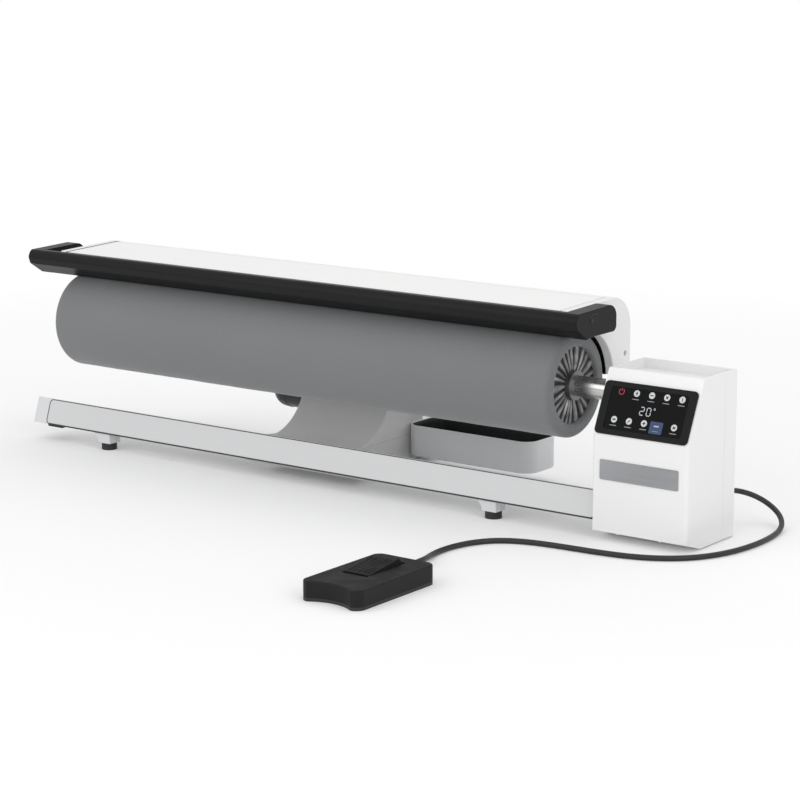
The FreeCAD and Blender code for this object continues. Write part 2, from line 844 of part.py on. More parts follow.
def tilted_pad(piece, place, out, thickness, *loops):
    """Material on the sloping panel, from a height above it outwards."""
    feature = piece.body.newObject("PartDesign::Pad", piece.body.Label + "_pad")
    drawing = piece.sketch("Y", loops, -S.box_front, **place)
    lean = place["tilt"]
    away, rise = out * cosine(lean), place["lift"] - out * sine(lean)
    drawing.setExpression("AttachmentOffset.Base.z", (S.box_front + away).formula)
    drawing.setExpression("AttachmentOffset.Base.y", rise.formula)
    feature.Profile = drawing
    piece.finish(feature, thickness, reversed_side=False)


def build_fittings():
    Shaped("cord_gland", strain_relief(gland_foot(), S.gland_radius, S.gland_tip,
                                       S.cord_radius + 2, S.box_wall))
    wall, start = S.inlet_wall, S.box_back - S.inlet_depth
    across, up = S.inlet_width / 2, S.inlet_height / 2
    wide, high = across + S.inlet_ears, up + wall * 2
    inner, rise = across - wall, up - wall
    (Piece("mains_inlet")
     .pad("Y", S.box_back, wall, rounded(inlet_x - wide, inlet_z - high, inlet_x + wide,
                                         inlet_z + high, wall * 1.5))
     .pad("Y", start, S.inlet_depth, inlet_opening())
     .cut("Y", start + wall, S.inlet_depth, rounded(inlet_x - inner, inlet_z - rise,
                                                    inlet_x + inner, inlet_z + rise, wall))
     .pad("Y", start + wall, S.inlet_depth - wall * 2,
          *[circle(inlet_x + shift, inlet_z + drop, S.inlet_pin_radius)
            for shift, drop in ((-7, -2), (0, 3), (7, -2))]))


def strain_relief(foot, radius, tip, collar_radius, wall):
    """Cone along y from a wall's outer face, with a collar through the wall."""
    away = Vector(0, 1, 0)
    cone = Part.makeCone(radius.value, tip.value, S.relief_length.value, foot, away)
    collar = Part.makeCylinder(collar_radius.value, wall.value, foot - away * wall.value, away)
    return cone.fuse(collar)


def gland_foot():
    return Vector(gland_x.value, S.box_back.value, gland_z.value)


# ---------------------------------------------------------------- base
def beam_outline(inset):
    """Section of the front beam: its front face leans back and its top falls to the back."""
    low = S.beam_bottom + inset
    lean = S.beam_lean / S.beam_height
    fall = S.beam_drop / (S.beam_depth - S.beam_lean)
    slant, pitch = root(lean * lean + 1), root(fall * fall + 1)
    down = inset * (fall * slant + pitch) / (fall * lean + 1)
    return [(-S.beam_front + inset * (slant + lean), low), (beam_back - inset, low),
            (beam_back - inset, beam_top - S.beam_drop - inset * (pitch - fall)),
            (-S.beam_front + S.beam_lean + inset * slant - down * lean, beam_top - down)]


def build_base():
    wall = S.beam_wall
    (Piece("front_beam")
     .pad("X", -S.beam_reach, S.beam_reach + box_left, beam_outline(as_size(0)),
          beam_outline(wall))
     .soften(S.edge_round, lambda edge, middle: runs_along(edge, "x") and (
         near(middle.z, S.beam_bottom) or near(middle.z, beam_top)
         or near(middle.z, beam_top - S.beam_drop))))
    (Piece("beam_end_cap")
     .pad("X", -machine_left, S.cap_length, beam_outline(as_size(0)))
     .cut("X", -machine_left + wall, S.cap_length - wall, beam_outline(wall))
     .soften(S.edge_round, lambda edge, middle: near(middle.x, -machine_left)))
    foot_y = foot_line()
    reach = S.foot_radius + S.bracket_reach
    brackets = Piece("foot_brackets")
    for side in (-S.foot_left, S.foot_right):
        brackets.pad("Y", foot_y - S.foot_radius, S.foot_radius * 2, [
            (side - S.foot_radius, S.foot_height), (side + S.foot_radius, S.foot_height),
            (side + S.foot_radius, S.beam_bottom), (side - reach, S.beam_bottom, -S.bracket_curve),
        ])
    feet = Piece("rubber_feet")
    for across, back in base_feet():
        feet.pad("Z", 0, S.foot_height, circle(across, back, S.foot_radius))
    for across, back in box_feet():
        feet.pad("Z", 0, floor_low, circle(across, back, S.foot_radius))
    pad_left, inset = -S.beam_reach - 2, S.end_pad_inset
    feet.pad("Z", S.beam_bottom - S.end_pad_thickness, S.end_pad_thickness,
             rectangle(pad_left, -S.beam_front + inset, pad_left + S.end_pad_length,
                       beam_back - inset))
    half, flare = S.base_half_width, S.base_flare
    (Piece("base_foot")
     .pad("Z", S.foot_height, S.base_top - S.foot_height, [
         (-half - flare, beam_back), (half + flare, beam_back, -flare),
         (half, beam_back + flare), (half, S.base_back), (-half, S.base_back),
         (-half, beam_back + flare, -flare)])
     .cut("Z", S.foot_height, S.base_top - S.base_wall - S.foot_height,
          rectangle(-half + S.base_wall, beam_back + S.base_wall, half - S.base_wall,
                    S.base_back - S.foot_radius * 2 - 4))
     .soften(S.edge_round, lambda edge, middle: (
         near(middle.z, S.base_top) and middle.y > beam_back.value + 0.1)))
    left = S.base_half_width
    right = left + S.tray_width
    thin = S.tray_wall
    (Piece("storage_tray")
     .pad("Z", S.tray_bottom, S.tray_top - S.tray_bottom,
          rounded(left, S.tray_front, right, tray_back, S.tray_corner))
     .cut("Z", S.tray_bottom + thin, S.tray_top - S.tray_bottom - thin,
          rounded(left + thin, S.tray_front + thin, right - thin, tray_back - thin,
                  S.tray_corner - thin))
     .soften(thin * 0.4, lambda edge, middle: near(middle.z, S.tray_top)))
    low = S.tray_bottom - S.shelf_thickness
    (Piece("tray_bracket")
     .pad("Y", S.tray_front + S.shelf_inset, S.tray_depth - S.shelf_inset * 2, [
         (left, S.tray_bottom), (left, low - S.shelf_root),
         (left + S.shelf_thickness, low - S.shelf_root),
         (left + S.shelf_thickness + S.shelf_root, low), (left + S.shelf_reach, low),
         (left + S.shelf_reach, S.tray_bottom)]))


def foot_line():
    return beam_back - S.beam_depth / 2 - 8


def base_feet():
    """Middles of the feet under the front beam and under the base's back."""
    rear = S.base_back - S.foot_radius - 3
    side = S.base_half_width - S.foot_radius - 5
    return [(-S.foot_left, foot_line()), (S.foot_right, foot_line()), (-side, rear), (side, rear)]


def box_feet():
    """Middles of the feet on the underside of the box's floor."""
    left, right = box_left + 16, box_right - 20
    front, back = toe_line() + S.foot_radius + 1, S.box_back - 18
    return [(left, front), (right, front), (left, back), (right, back)]


# ---------------------------------------------------------------- column with the head's hinge and lift
lift_reach = gear_distance(S.sector_teeth, S.lift_teeth, S.lift_module)
lift_y = S.hinge_back + lift_reach * cosine(S.lift_direction)
lift_z = S.hinge_height + lift_reach * sine(S.lift_direction)


def build_column():
    half, wall = S.base_half_width, S.column_wall
    low, curve = S.base_top, S.column_curve
    toe = S.column_face - curve
    level = low + curve
    outer = [(toe, low), (S.column_back, low), (S.column_back, column_top),
             (S.column_face, column_top), (S.column_face, level, -curve)]
    inner_curve = curve + wall
    inner_toe = toe + root(inner_curve * inner_curve - curve * curve)
    inner = [(inner_toe, low), (S.column_back - wall, low),
             (S.column_back - wall, column_top - wall), (S.column_face + wall, column_top - wall),
             (S.column_face + wall, level, -inner_curve)]
    slot = S.arm_inner + S.arm_wall + 6
    (Piece("column_shell")
     .pad("X", -half, half * 2, outer)
     .cut("X", -half + wall, (half - wall) * 2, inner)
     .cut("Z", column_top - wall, wall,
          rectangle(-slot, S.column_face + wall, slot, S.column_back - wall))
     .cut("X", -half, half - S.cheek_inner - S.cheek_wall,
          circle(lift_y, lift_z, S.lift_motor_radius + 0.5))
     .soften(S.edge_round, lambda edge, middle: (
         near(abs(middle.x), half) and middle.z > low.value + 0.1 and not is_hole(edge, 30))))
    cheek = S.cheek_wall
    back = S.column_back - wall - 1
    outside = S.cheek_inner + cheek
    side = rectangle(S.cheek_front, low, back, S.hinge_height + S.hinge_boss - 1)
    pivot = circle(S.hinge_back, S.hinge_height, S.hinge_radius)
    (Piece("column_frame")
     .pad("X", S.cheek_inner, cheek, side, pivot)
     .pad("X", -outside, cheek, side, pivot, circle(lift_y, lift_z, S.pinion_window))
     .pad("Z", low, cheek, rectangle(-S.cheek_inner, S.cheek_front, S.cheek_inner, back)))
    (Piece("hinge_shaft")
     .pad("X", -outside - 4, (outside + 4) * 2, circle(S.hinge_back, S.hinge_height, S.hinge_radius)))
    motor_end = -outside - S.lift_motor_length
    bore_depth = S.motor_stub + S.stub_clear
    (Piece("lift_motor")
     .pad("X", motor_end, S.lift_motor_length, circle(lift_y, lift_z, S.lift_motor_radius))
     .soften(S.lift_motor_dome, lambda edge, middle: near(middle.x, motor_end))
     .cut("X", -outside - bore_depth, bore_depth,
          circle(lift_y, lift_z, S.motor_shaft_radius + S.running_gap)))


def build_lift():
    module = S.lift_module.value
    right = -(S.arm_inner + S.arm_wall).value
    start = right - S.sector_width.value
    hinge = Vector(start, S.hinge_back.value, S.hinge_height.value)
    centre = Vector(start, lift_y.value, lift_z.value)
    wide = Vector(S.sector_width.value, 0, 0)
    direction = math.radians(S.lift_direction.value)
    teeth, small = S.sector_teeth.value, S.lift_teeth.value
    step = 2 * math.pi / teeth
    foot = tooth_points(teeth, module)[0]
    first = -2
    last = int(math.ceil(S.head_travel.value / math.degrees(step))) + 2
    run = [tooth_edges(hinge, teeth, module, direction + step * number)
           for number in range(first, last + 1)]
    edges = []
    for number, (_, own, end) in enumerate(run):
        edges += own
        if number + 1 < len(run):
            between = polar(hinge, foot, direction + step * (first + number + 0.5))
            edges.append(Part.Arc(end, between, run[number + 1][0]).toShape())
    hub = S.hinge_boss.value
    low_angle, high_angle = direction + step * (first - 4), direction + step * (last + 4)
    corner_high = polar(hinge, hub - 1, high_angle)
    corner_low = polar(hinge, hub - 1, low_angle)
    edges.append(Part.LineSegment(run[-1][2], corner_high).toShape())
    edges.append(Part.LineSegment(corner_high, corner_low).toShape())
    edges.append(Part.LineSegment(corner_low, run[0][0]).toShape())
    blade = Part.Face(Part.Wire(edges)).fuse(disc(hinge, hub)).removeSplitter()
    blade = blade.cut(disc(hinge, S.hinge_radius.value + S.running_gap.value))
    Shaped("sector_gear", blade.extrude(wide))
    phase = meshing_phase(direction, teeth, direction, small)
    wheel = gear_face(centre, small, module, phase).extrude(wide)
    stem_start = -(S.cheek_inner + S.cheek_wall + S.motor_stub).value
    stem = Part.makeCylinder(S.motor_shaft_radius.value, right - stem_start,
                             Vector(stem_start, centre.y, centre.z), Vector(1, 0, 0))
    Shaped("lift_pinion", wheel.fuse(stem).removeSplitter())


# ---------------------------------------------------------------- heated head
def on_roller(radius, angle):
    """Point at a radius and angle about the roller's axis, the angle from straight back upwards."""
    return radius * cosine(angle), S.axis_height + radius * sine(angle)


def arc_plate(inner, outer, rear_angle, front_angle):
    """Section bent round the roller between two angles."""
    first, second = on_roller(outer, rear_angle), on_roller(outer, front_angle)
    third, fourth = on_roller(inner, front_angle), on_roller(inner, rear_angle)
    return [(*first, outer), second, (*third, -inner), fourth]


shoe_inner = S.roller_radius + S.shoe_gap
shoe_outer = shoe_inner + S.shoe_thickness
heater_outer = shoe_outer + S.heater_thickness
blanket_outer = heater_outer + S.blanket_thickness
beam_rear = blanket_outer + S.arm_clear
head_beam_front = beam_rear - S.head_beam_depth
over_blanket = root(blanket_outer * blanket_outer - head_beam_front * head_beam_front)
beam_low = S.axis_height + over_blanket + S.head_beam_clear
beam_high = beam_low + S.head_beam_height


def build_head():
    half = half_length
    (Piece("hot_plate")
     .pad("X", -half, half * 2,
          arc_plate(shoe_inner, shoe_outer, S.shoe_rear_angle, S.shoe_front_angle)))
    heaters = Piece("strip_heaters")
    end = S.heater_end
    for middle in (22, 50, 78):
        heaters.pad("X", -half + end, half * 2 - end * 2,
                    arc_plate(shoe_outer, heater_outer, middle - S.heater_span,
                              middle + S.heater_span))
    blanket = Piece("insulation_blanket")
    share = (S.shoe_front_angle - S.shoe_rear_angle) / 3
    for number in range(3):
        start = S.shoe_rear_angle + share * number
        blanket.pad("X", -half, half * 2,
                    arc_plate(heater_outer, blanket_outer, start, start + share - S.blanket_joint))
    ribs = Piece("shoe_ribs")
    front = on_roller(blanket_outer, 100)
    back = on_roller(blanket_outer, 45)
    under_front = cover_height(as_size(-30)) - S.cover_sheet
    under_back = cover_height(S.cover_seam - 3) - S.cover_sheet
    for place in (-1.5, -0.5, 0.5, 1.5):
        ribs.pad("X", S.rib_spacing * place - S.rib_width / 2, S.rib_width, [
            (*front, -blanket_outer), back, (head_beam_front, back[1]),
            (head_beam_front, beam_high), (S.cover_seam - 3, beam_high),
            (S.cover_seam - 3, under_back), (-30, under_front),
        ])
    box = rectangle(head_beam_front, beam_low, beam_rear, beam_high)
    inner = rectangle(head_beam_front + 2, beam_low + 2, beam_rear - 2, beam_high - 2)
    Piece("head_beam").pad("X", -half, half * 2, box, inner)
    boss, hinge = S.hinge_boss, (S.hinge_back, S.hinge_height)
    rear = beam_rear
    outline = [
        (hinge[0] - boss, hinge[1], boss), (hinge[0], hinge[1] - boss, boss),
        (hinge[0] + boss, hinge[1]),
        (S.head_back - 4, head_bottom - 2), (S.head_back - 4, beam_low - 4),
        (rear + 8, beam_high - 16), (rear, beam_high - 4), (rear, beam_low),
        (rear - 2, beam_low), (rear - 2, head_bottom - 2),
    ]
    bore = circle(*hinge, S.hinge_radius + S.running_gap)
    (Piece("head_arm")
     .pad("X", S.arm_inner, S.arm_wall, outline, bore)
     .pad("X", -S.arm_inner - S.arm_wall, S.arm_wall, outline, bore)
     .pad("X", -S.arm_inner, S.arm_inner * 2, circle(*hinge, boss - 2), bore))
    build_covers()
    build_side_plates()
    low = on_roller(blanket_outer, 84)
    high = on_roller(blanket_outer, 96)
    rise = S.thermostat_height
    (Piece("thermostat")
     .pad("X", S.thermostat_left, S.thermostat_width, [
         (*high, -blanket_outer), low, (low[0], low[1] + rise), (high[0], high[1] + rise)]))


def cover_height(depth):
    """Height of the head's top at a depth: it rises a little to the seam."""
    slope = (head_top - head_front_top) / (S.cover_seam + S.head_front)
    return head_front_top + slope * (depth + S.head_front)


def build_covers():
    thin = S.cover_sheet
    end = S.cover_seam
    half = half_length - S.cover_gap
    front = -S.head_front
    lip = head_front_top - S.cover_lip
    Piece("top_cover").pad("X", -half, half * 2, [
        (front, lip), (front + thin, lip), (front + thin, cover_height(front + thin) - thin),
        (end - thin, cover_height(end - thin) - thin), (end - thin, head_top - 8),
        (end, head_top - 8), (end, head_top), (front, head_front_top),
    ])
    start = end + S.cover_gap
    radius = S.head_round
    bend = S.head_back - radius
    Piece("rear_cover").pad("X", -half, half * 2, [
        (start, head_top - thin), (bend, head_top - thin, -(radius - thin)),
        (S.head_back - thin, head_top - radius),
        (S.head_back - thin, head_bottom), (S.head_back, head_bottom),
        (S.head_back, head_top - radius, radius), (bend, head_top), (start, head_top),
    ])


def build_side_plates():
    arch = S.roller_radius + S.side_gap
    tip = on_roller(arch, S.shoe_front_angle)
    heel = on_roller(arch, S.shoe_rear_angle)
    corner = S.plate_corner
    outline = [
        (*tip, -arch), heel, (S.head_back - corner, heel[1], corner),
        (S.head_back, heel[1] + corner), (S.head_back, head_top - S.head_round, S.head_round),
        (S.head_back - S.head_round, head_top), (-S.head_front + corner, head_front_top, corner),
        (-S.head_front, head_front_top - corner), (-S.head_front, head_front_top - 16),
    ]
    holes = (circle(*tie_place(), S.tie_radius), circle(*guard_pivot, 2.5))
    outside = half_length + S.side_plate
    for label, start, face in (("left_side_plate", -outside, -outside),
                               ("right_side_plate", half_length, outside)):
        (Piece(label)
         .pad("X", start, S.side_plate, outline, *holes)
         .soften(S.edge_round, lambda edge, middle, face=face: (
             near(middle.x, face) and not is_hole(edge, 5))))
    build_head_screws()


guard_pivot = (S.guard_pivot_back, head_front_top - S.guard_pivot_drop)


def tie_place():
    return S.head_back - 13, S.axis_height + 28.5


def build_head_screws():
    outside = half_length + S.side_plate
    counterbore = S.guard_bolt_depth
    right_end = outside + S.guard_arm_gap + S.guard_arm_width
    left_end = S.guard_left + S.guard_arm_width
    screws = Piece("head_screws")
    shank = S.guard_pivot_radius
    screws.pad("X", outside, right_end - counterbore - outside, circle(*guard_pivot, shank))
    head = circle(*guard_pivot, S.guard_bolt_radius)
    screws.pad("X", right_end - counterbore + 0.2, counterbore - 0.2, head)
    screws.pad("X", right_end - counterbore, 0.2, circle(*guard_pivot, shank))
    screws.pad("X", -left_end + counterbore, left_end - counterbore - outside,
               circle(*guard_pivot, shank))
    screws.pad("X", -left_end, counterbore - 0.2, head)
    screws.pad("X", -left_end + counterbore - 0.2, 0.2, circle(*guard_pivot, shank))
    for start in (-outside + 2, half_length):
        screws.pad("X", start, S.side_plate - 2, circle(*tie_place(), S.tie_radius))


# ---------------------------------------------------------------- finger guard
guard_low = -S.head_front + S.guard_low_set
guard_low_height = head_front_top - S.guard_low_drop


def guard_nose_outline(rear_points):
    """Front of the guard: flat top, round nose, slanting underside, then the given back."""
    front = -S.head_front - S.guard_gap
    nose = front - S.guard_top_depth - S.guard_nose_reach
    nose_height = head_front_top - S.guard_nose_drop
    return [
        (front - S.guard_top_depth, head_front_top, S.guard_round),
        (nose, nose_height), (nose + 3, nose_height - 8), (guard_low, guard_low_height),
    ] + rear_points


def build_guard():
    front = -S.head_front - S.guard_gap
    outside = half_length + S.side_plate + S.guard_arm_gap
    rear = [(guard_low + 2, guard_low_height + 2), (front - 0.5, head_front_top - 19),
            (front, head_front_top - 12), (front, head_front_top)]
    (Piece("guard_bar")
     .pad("X", -S.guard_left, S.guard_left + outside, guard_nose_outline(rear))
     .soften(0.8, lambda edge, middle: runs_along(edge, "x")))
    low = head_front_top - S.guard_arm_drop
    back = S.guard_arm_back
    arm = guard_nose_outline([
        (guard_low + 14, low), (back - 8, low, as_size(8)), (back, low + 8),
        (back, head_top - 17, as_size(16)), (back - 16, head_top - 1),
    ])
    counterbore = S.guard_bolt_depth
    pivot_bore = circle(*guard_pivot, S.guard_pivot_radius + S.running_gap)
    wide = S.guard_arm_width
    (Piece("right_guard_arm")
     .pad("X", outside, wide, arm, pivot_bore)
     .cut("X", outside + wide - counterbore, counterbore, circle(*guard_pivot, S.guard_bolt_radius + 0.3))
     .soften(S.edge_round, lambda edge, middle: (
         near(middle.x, outside + wide) and not is_hole(edge, 7))))
    (Piece("left_guard_arm")
     .pad("X", -S.guard_left - wide, wide, arm, pivot_bore)
     .cut("X", -S.guard_left - wide, counterbore, circle(*guard_pivot, S.guard_bolt_radius + 0.3))
     .soften(S.edge_round, lambda edge, middle: (
         near(middle.x, -S.guard_left - wide) and not is_hole(edge, 7))))


# ---------------------------------------------------------------- pedal
pedal_right = S.pedal_left + S.pedal_width
pedal_back = S.pedal_length - S.pedal_front
pad_x = S.pedal_left + S.pad_left
pad_y = S.pad_front - S.pedal_front
pin_y = pad_y + 6
plunger_y = pad_y + 53
spring_y = pad_y + 34


def pedal_plan(inset):
    """Plan of the pedal: rounded rectangle with a waisted front."""
    left, right = S.pedal_left + inset, pedal_right - inset
    front, back = -S.pedal_front + inset, pedal_back - inset
    corner = S.pedal_corner - inset
    half = (right - left) / 2 - corner
    sweep = (half * half + S.pedal_waist * S.pedal_waist) / (S.pedal_waist * 2)
    return [
        (left + corner, front, -sweep), (right - corner, front, corner),
        (right, front + corner), (right, back - corner, corner),
        (right - corner, back), (left + corner, back, corner),
        (left, back - corner), (left, front + corner, corner),
    ]


def build_pedal():
    wall, gap = S.pedal_wall, S.pad_gap
    Piece("pedal_base").pad("Z", 0, S.pedal_base, pedal_plan(as_size(0)))
    left, right = pad_x, pad_x + S.pad_width
    low, high = pad_y, pad_y + S.pad_length
    lug = [rectangle(left - 5, low, left, low + 12), rectangle(right, low, right + 5, low + 12)]
    rise = S.pedal_height - S.pedal_base
    pin = circle(pin_y, S.pad_pin_height, S.pad_pin_radius)
    shell = Piece("pedal_shell")
    shell.pad("Z", S.pedal_base, rise, pedal_plan(as_size(0)))
    shell.soften(wall * 0.8, lambda edge, middle: near(middle.z, S.pedal_height))
    shell.cut("Z", S.pedal_base, rise - wall, pedal_plan(wall))
    shell.pad("Z", S.pedal_base, rise, *lug)
    shell.cut("Z", S.pedal_height - wall, wall,
              rectangle(left, low - S.pad_slot, right, high + S.pad_slot))
    shell.cut("X", left - 5, S.pad_width + 10, pin)
    shell.cut("Y", pedal_back - wall, wall, circle(relief_x, relief_z, S.cord_radius + 1))
    Piece("pedal_pin").pad("X", left - 5, S.pad_width + 10, pin)
    top = S.pedal_height
    under = S.pad_pin_height + 2.5
    knuckle = S.pad_pin_height - S.pad_pin_radius - 2
    outline = [
        (low + gap, knuckle), (pin_y + 5, knuckle), (pin_y + 7, under),
        (high - gap - 1, under), (high - gap - 3, top + S.pad_rise - 6, as_size(6)),
        (high - gap - 9, top + S.pad_rise), (low + gap, top + 1),
    ]
    (Piece("pedal_pad")
     .pad("X", left + gap, S.pad_width - gap * 2, outline,
          circle(pin_y, S.pad_pin_height, S.pad_pin_radius + S.running_gap))
     .soften(1.2, lambda edge, middle: middle.z > top.value - 0.5))
    middle = pad_x + S.pad_width / 2
    bore = S.pad_pin_radius + S.running_gap
    body = rectangle(middle - 9, plunger_y - 6, middle + 9, plunger_y + 6)
    (Piece("pedal_switch")
     .pad("Z", S.pedal_base, 10, body)
     .cut("Z", S.pedal_base + 0.5, 9.5, circle(middle, plunger_y, bore)))
    (Piece("pedal_plunger")
     .pad("Z", S.pedal_base + 6.2, under - 0.1 - S.pedal_base - 6.2,
          circle(middle, plunger_y, S.pad_pin_radius)))
    (Piece("pedal_spring")
     .pad("Z", S.pedal_base, under - 0.1 - S.pedal_base,
          circle(middle, spring_y, 5), circle(middle, spring_y, 3.8)))
    foot = Vector(relief_x.value, pedal_back.value, relief_z.value)
    Shaped("pedal_relief", strain_relief(foot, S.relief_radius, S.relief_tip,
                                         S.cord_radius + 1, wall))


relief_x = S.pedal_left + S.relief_across
relief_z = S.pedal_base + S.relief_rise


# ---------------------------------------------------------------- lead from the box to the pedal
def cord_route():
    """Points of the lead's route, from the gland round the box to the pedal, chosen by hand."""
    lie = S.cord_radius.value + 0.1
    start = gland_foot() + Vector(0, S.relief_length.value, 0)
    finish = Vector(relief_x.value, pedal_back.value + S.relief_length.value, relief_z.value)
    return [
        start, start + Vector(0, 20, 0),
        Vector(594, 121.5, 42.5), Vector(607.5, 136.5, 36), Vector(626, 142, 27),
        Vector(645, 137, 17), Vector(658.5, 122, 9), Vector(665.5, 100, lie + 0.7),
        Vector(669.5, 74, lie), Vector(671.5, 46, lie), Vector(670.5, 16, lie),
        Vector(666, -15, lie), Vector(656, -46, lie), Vector(638.5, -75, lie),
        Vector(612, -97, lie), Vector(580, -111, lie), Vector(540, -118, lie),
        Vector(496, -121, lie), Vector(456, -124.5, lie), Vector(424, -133, lie),
        Vector(400, -149, lie),
        Vector(385, -173, lie), Vector(377.5, -201, lie), Vector(376.5, -228, lie),
        Vector(381.5, -253, lie + 0.8), Vector(391, -275, lie + 3.4),
        finish + Vector(0, 19, 0), finish,
    ]


def rounded_path(points):
    """Straight runs joined by tangent arcs, each as large as its two runs allow."""
    edges, radii = [], []
    here = points[0]
    for before, corner, after in zip(points, points[1:], points[2:]):
        inward, outward = corner - before, after - corner
        turn = inward.getAngle(outward)
        reach = 0.45 * min(inward.Length, outward.Length)
        radii.append(reach / math.tan(turn / 2))
        start = corner - inward.normalize() * reach
        end = corner + outward.normalize() * reach
        bisector = (end - corner) + (start - corner)
        bulge = radii[-1] / math.cos(turn / 2) - radii[-1]
        middle = corner + bisector.normalize() * bulge
        edges.append(Part.LineSegment(here, start).toShape())
        edges.append(Part.Arc(start, middle, end).toShape())
        here = end
    edges.append(Part.LineSegment(here, points[-1]).toShape())
    return Part.Wire(edges), radii


def build_cord():
    points = cord_route()
    path, radii = rounded_path(points)
    tangent = (points[1] - points[0]).normalize()
    section = Part.Wire(Part.makeCircle(S.cord_radius.value, points[0], tangent))
    tube = path.makePipeShell([section], True, False)
    expected = math.pi * S.cord_radius.value ** 2 * path.Length
    print("lead radii", " ".join(f"{radius:.0f}" for radius in radii))
    print(f"lead length {path.Length:.0f} volume ratio {tube.Volume / expected:.4f}")
    Shaped("pedal_cord", tube)


# ---------------------------------------------------------------- assembly
def place_everything():
    """Shifts every sub-part from machine coordinates to the origin under the middle."""
    for body in pieces:
        body.Placement = FreeCAD.Placement(Vector(-origin_x.value, -origin_y.value, 0),
                                           FreeCAD.Rotation())
        body.setExpression("Placement.Base.x", (-origin_x).formula)
        body.setExpression("Placement.Base.y", (-origin_y).formula)


def check_everything():
    """Stops if any object failed or any sub-part is not a sound solid."""
    for item in document.Objects:
        if "Invalid" in item.State or "Error" in item.State:
            raise ValueError(f"{item.Name} failed: {item.State}")
    for body in pieces:
        if body.Shape.isNull() or not body.Shape.isValid() or not body.Shape.Solids:
            raise ValueError(f"{body.Label} is not a sound solid")


def main():
    build_roller()
    build_drive()
    build_gears()
    build_box()
    build_panel()
    build_fittings()
    build_base()
    build_column()
    build_lift()
    build_head()
    build_guard()
    build_pedal()
    build_cord()
    place_everything()
    document.recompute()
    check_everything()
    os.makedirs("parts", exist_ok=True)
    for body in pieces:
        body.Shape.exportStep(f"parts/{body.Label}.step")
    print(len(pieces), "sub-parts written")


main()
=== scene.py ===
"""Looks of a benchtop flatwork ironer.

A cloth-covered roller turns under a hinged, heated shoe.  The shoe's head stands on a column
behind the roller, a black finger guard runs along its front, and the control box with the touch
panel carries the roller's right end.  A pedal lies in front, on a lead from the box.
"""

import json
import logging
import math
from dataclasses import dataclass, replace
from enum import Enum

import bmesh
import bpy
import numpy as np
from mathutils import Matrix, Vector


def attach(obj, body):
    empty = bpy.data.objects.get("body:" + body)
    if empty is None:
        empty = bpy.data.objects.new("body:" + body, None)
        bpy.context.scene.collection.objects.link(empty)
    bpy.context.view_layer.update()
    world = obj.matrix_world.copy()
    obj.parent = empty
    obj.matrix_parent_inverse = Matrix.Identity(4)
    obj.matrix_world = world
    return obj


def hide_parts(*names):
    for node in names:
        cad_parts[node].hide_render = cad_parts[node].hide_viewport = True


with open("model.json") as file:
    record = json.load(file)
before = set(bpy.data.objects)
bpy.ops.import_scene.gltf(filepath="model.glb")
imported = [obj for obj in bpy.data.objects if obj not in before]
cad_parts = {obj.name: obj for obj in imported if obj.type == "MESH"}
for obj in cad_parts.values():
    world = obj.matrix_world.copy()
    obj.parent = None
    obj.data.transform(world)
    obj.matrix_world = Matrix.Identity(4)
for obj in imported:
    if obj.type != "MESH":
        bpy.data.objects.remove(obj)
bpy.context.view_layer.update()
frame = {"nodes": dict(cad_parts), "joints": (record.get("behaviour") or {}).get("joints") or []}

LOG = logging.getLogger("ironer")
MM = 0.001
TURN = 2.0 * math.pi
TIP = 0.001  # radius in millimetres at which a turned piece closes on its axis
RIGHT, BACK, UP = np.eye(3)
Object, Socket = bpy.types.Object, bpy.types.NodeSocket
Pair, Triple = tuple[float, float], tuple[float, float, float]
Input = Socket | float | Triple


# ---------------- places from the frame
def joint(name: str) -> dict:
    """The record's joint of that name."""
    return next(item for item in frame["joints"] if item["name"] == name)


ROLLER_AXIS = np.array(joint("roller_spin")["pos_m"])


def at(x: float, y: float, z: float) -> np.ndarray:
    """A place in millimetres, x right and y back from the roller's middle, z above the floor.

    Args:
        x: distance to the right of the roller's middle.
        y: distance behind the roller's axis.
        z: height above the floor.

    Returns:
        The same place in the row frame, in metres.
    """
    return np.array([ROLLER_AXIS[0] + x * MM, ROLLER_AXIS[1] + y * MM, z * MM])


@dataclass(frozen=True)
class Plane:
    """A flat place with its own axes: u to the right, v up the face, n out of it."""

    origin: np.ndarray
    u: np.ndarray
    v: np.ndarray

    @property
    def n(self) -> np.ndarray:
        """Outward normal."""
        return np.cross(self.u, self.v)

    def put(self, flat: np.ndarray, height: float | np.ndarray = 0.0) -> np.ndarray:
        """Points in metres for flat (..., 2) coordinates in millimetres.

        Args:
            flat: coordinates along u and v.
            height: distance out of the face in millimetres, one or one for each point.

        Returns:
            An array of points in the row frame.
        """
        flat = np.asarray(flat, float)
        rise = np.broadcast_to(np.asarray(height, float), flat.shape[:-1])[..., None]
        return (self.origin + MM * (flat[..., :1] * self.u + flat[..., 1:2] * self.v
                                    + rise * self.n))


def leaning(origin: np.ndarray, back: float, rise: float) -> Plane:
    """A plane along x through the origin that runs back and up in the ratio of the two."""
    up = back * BACK + rise * UP
    return Plane(origin, RIGHT, up / np.linalg.norm(up))


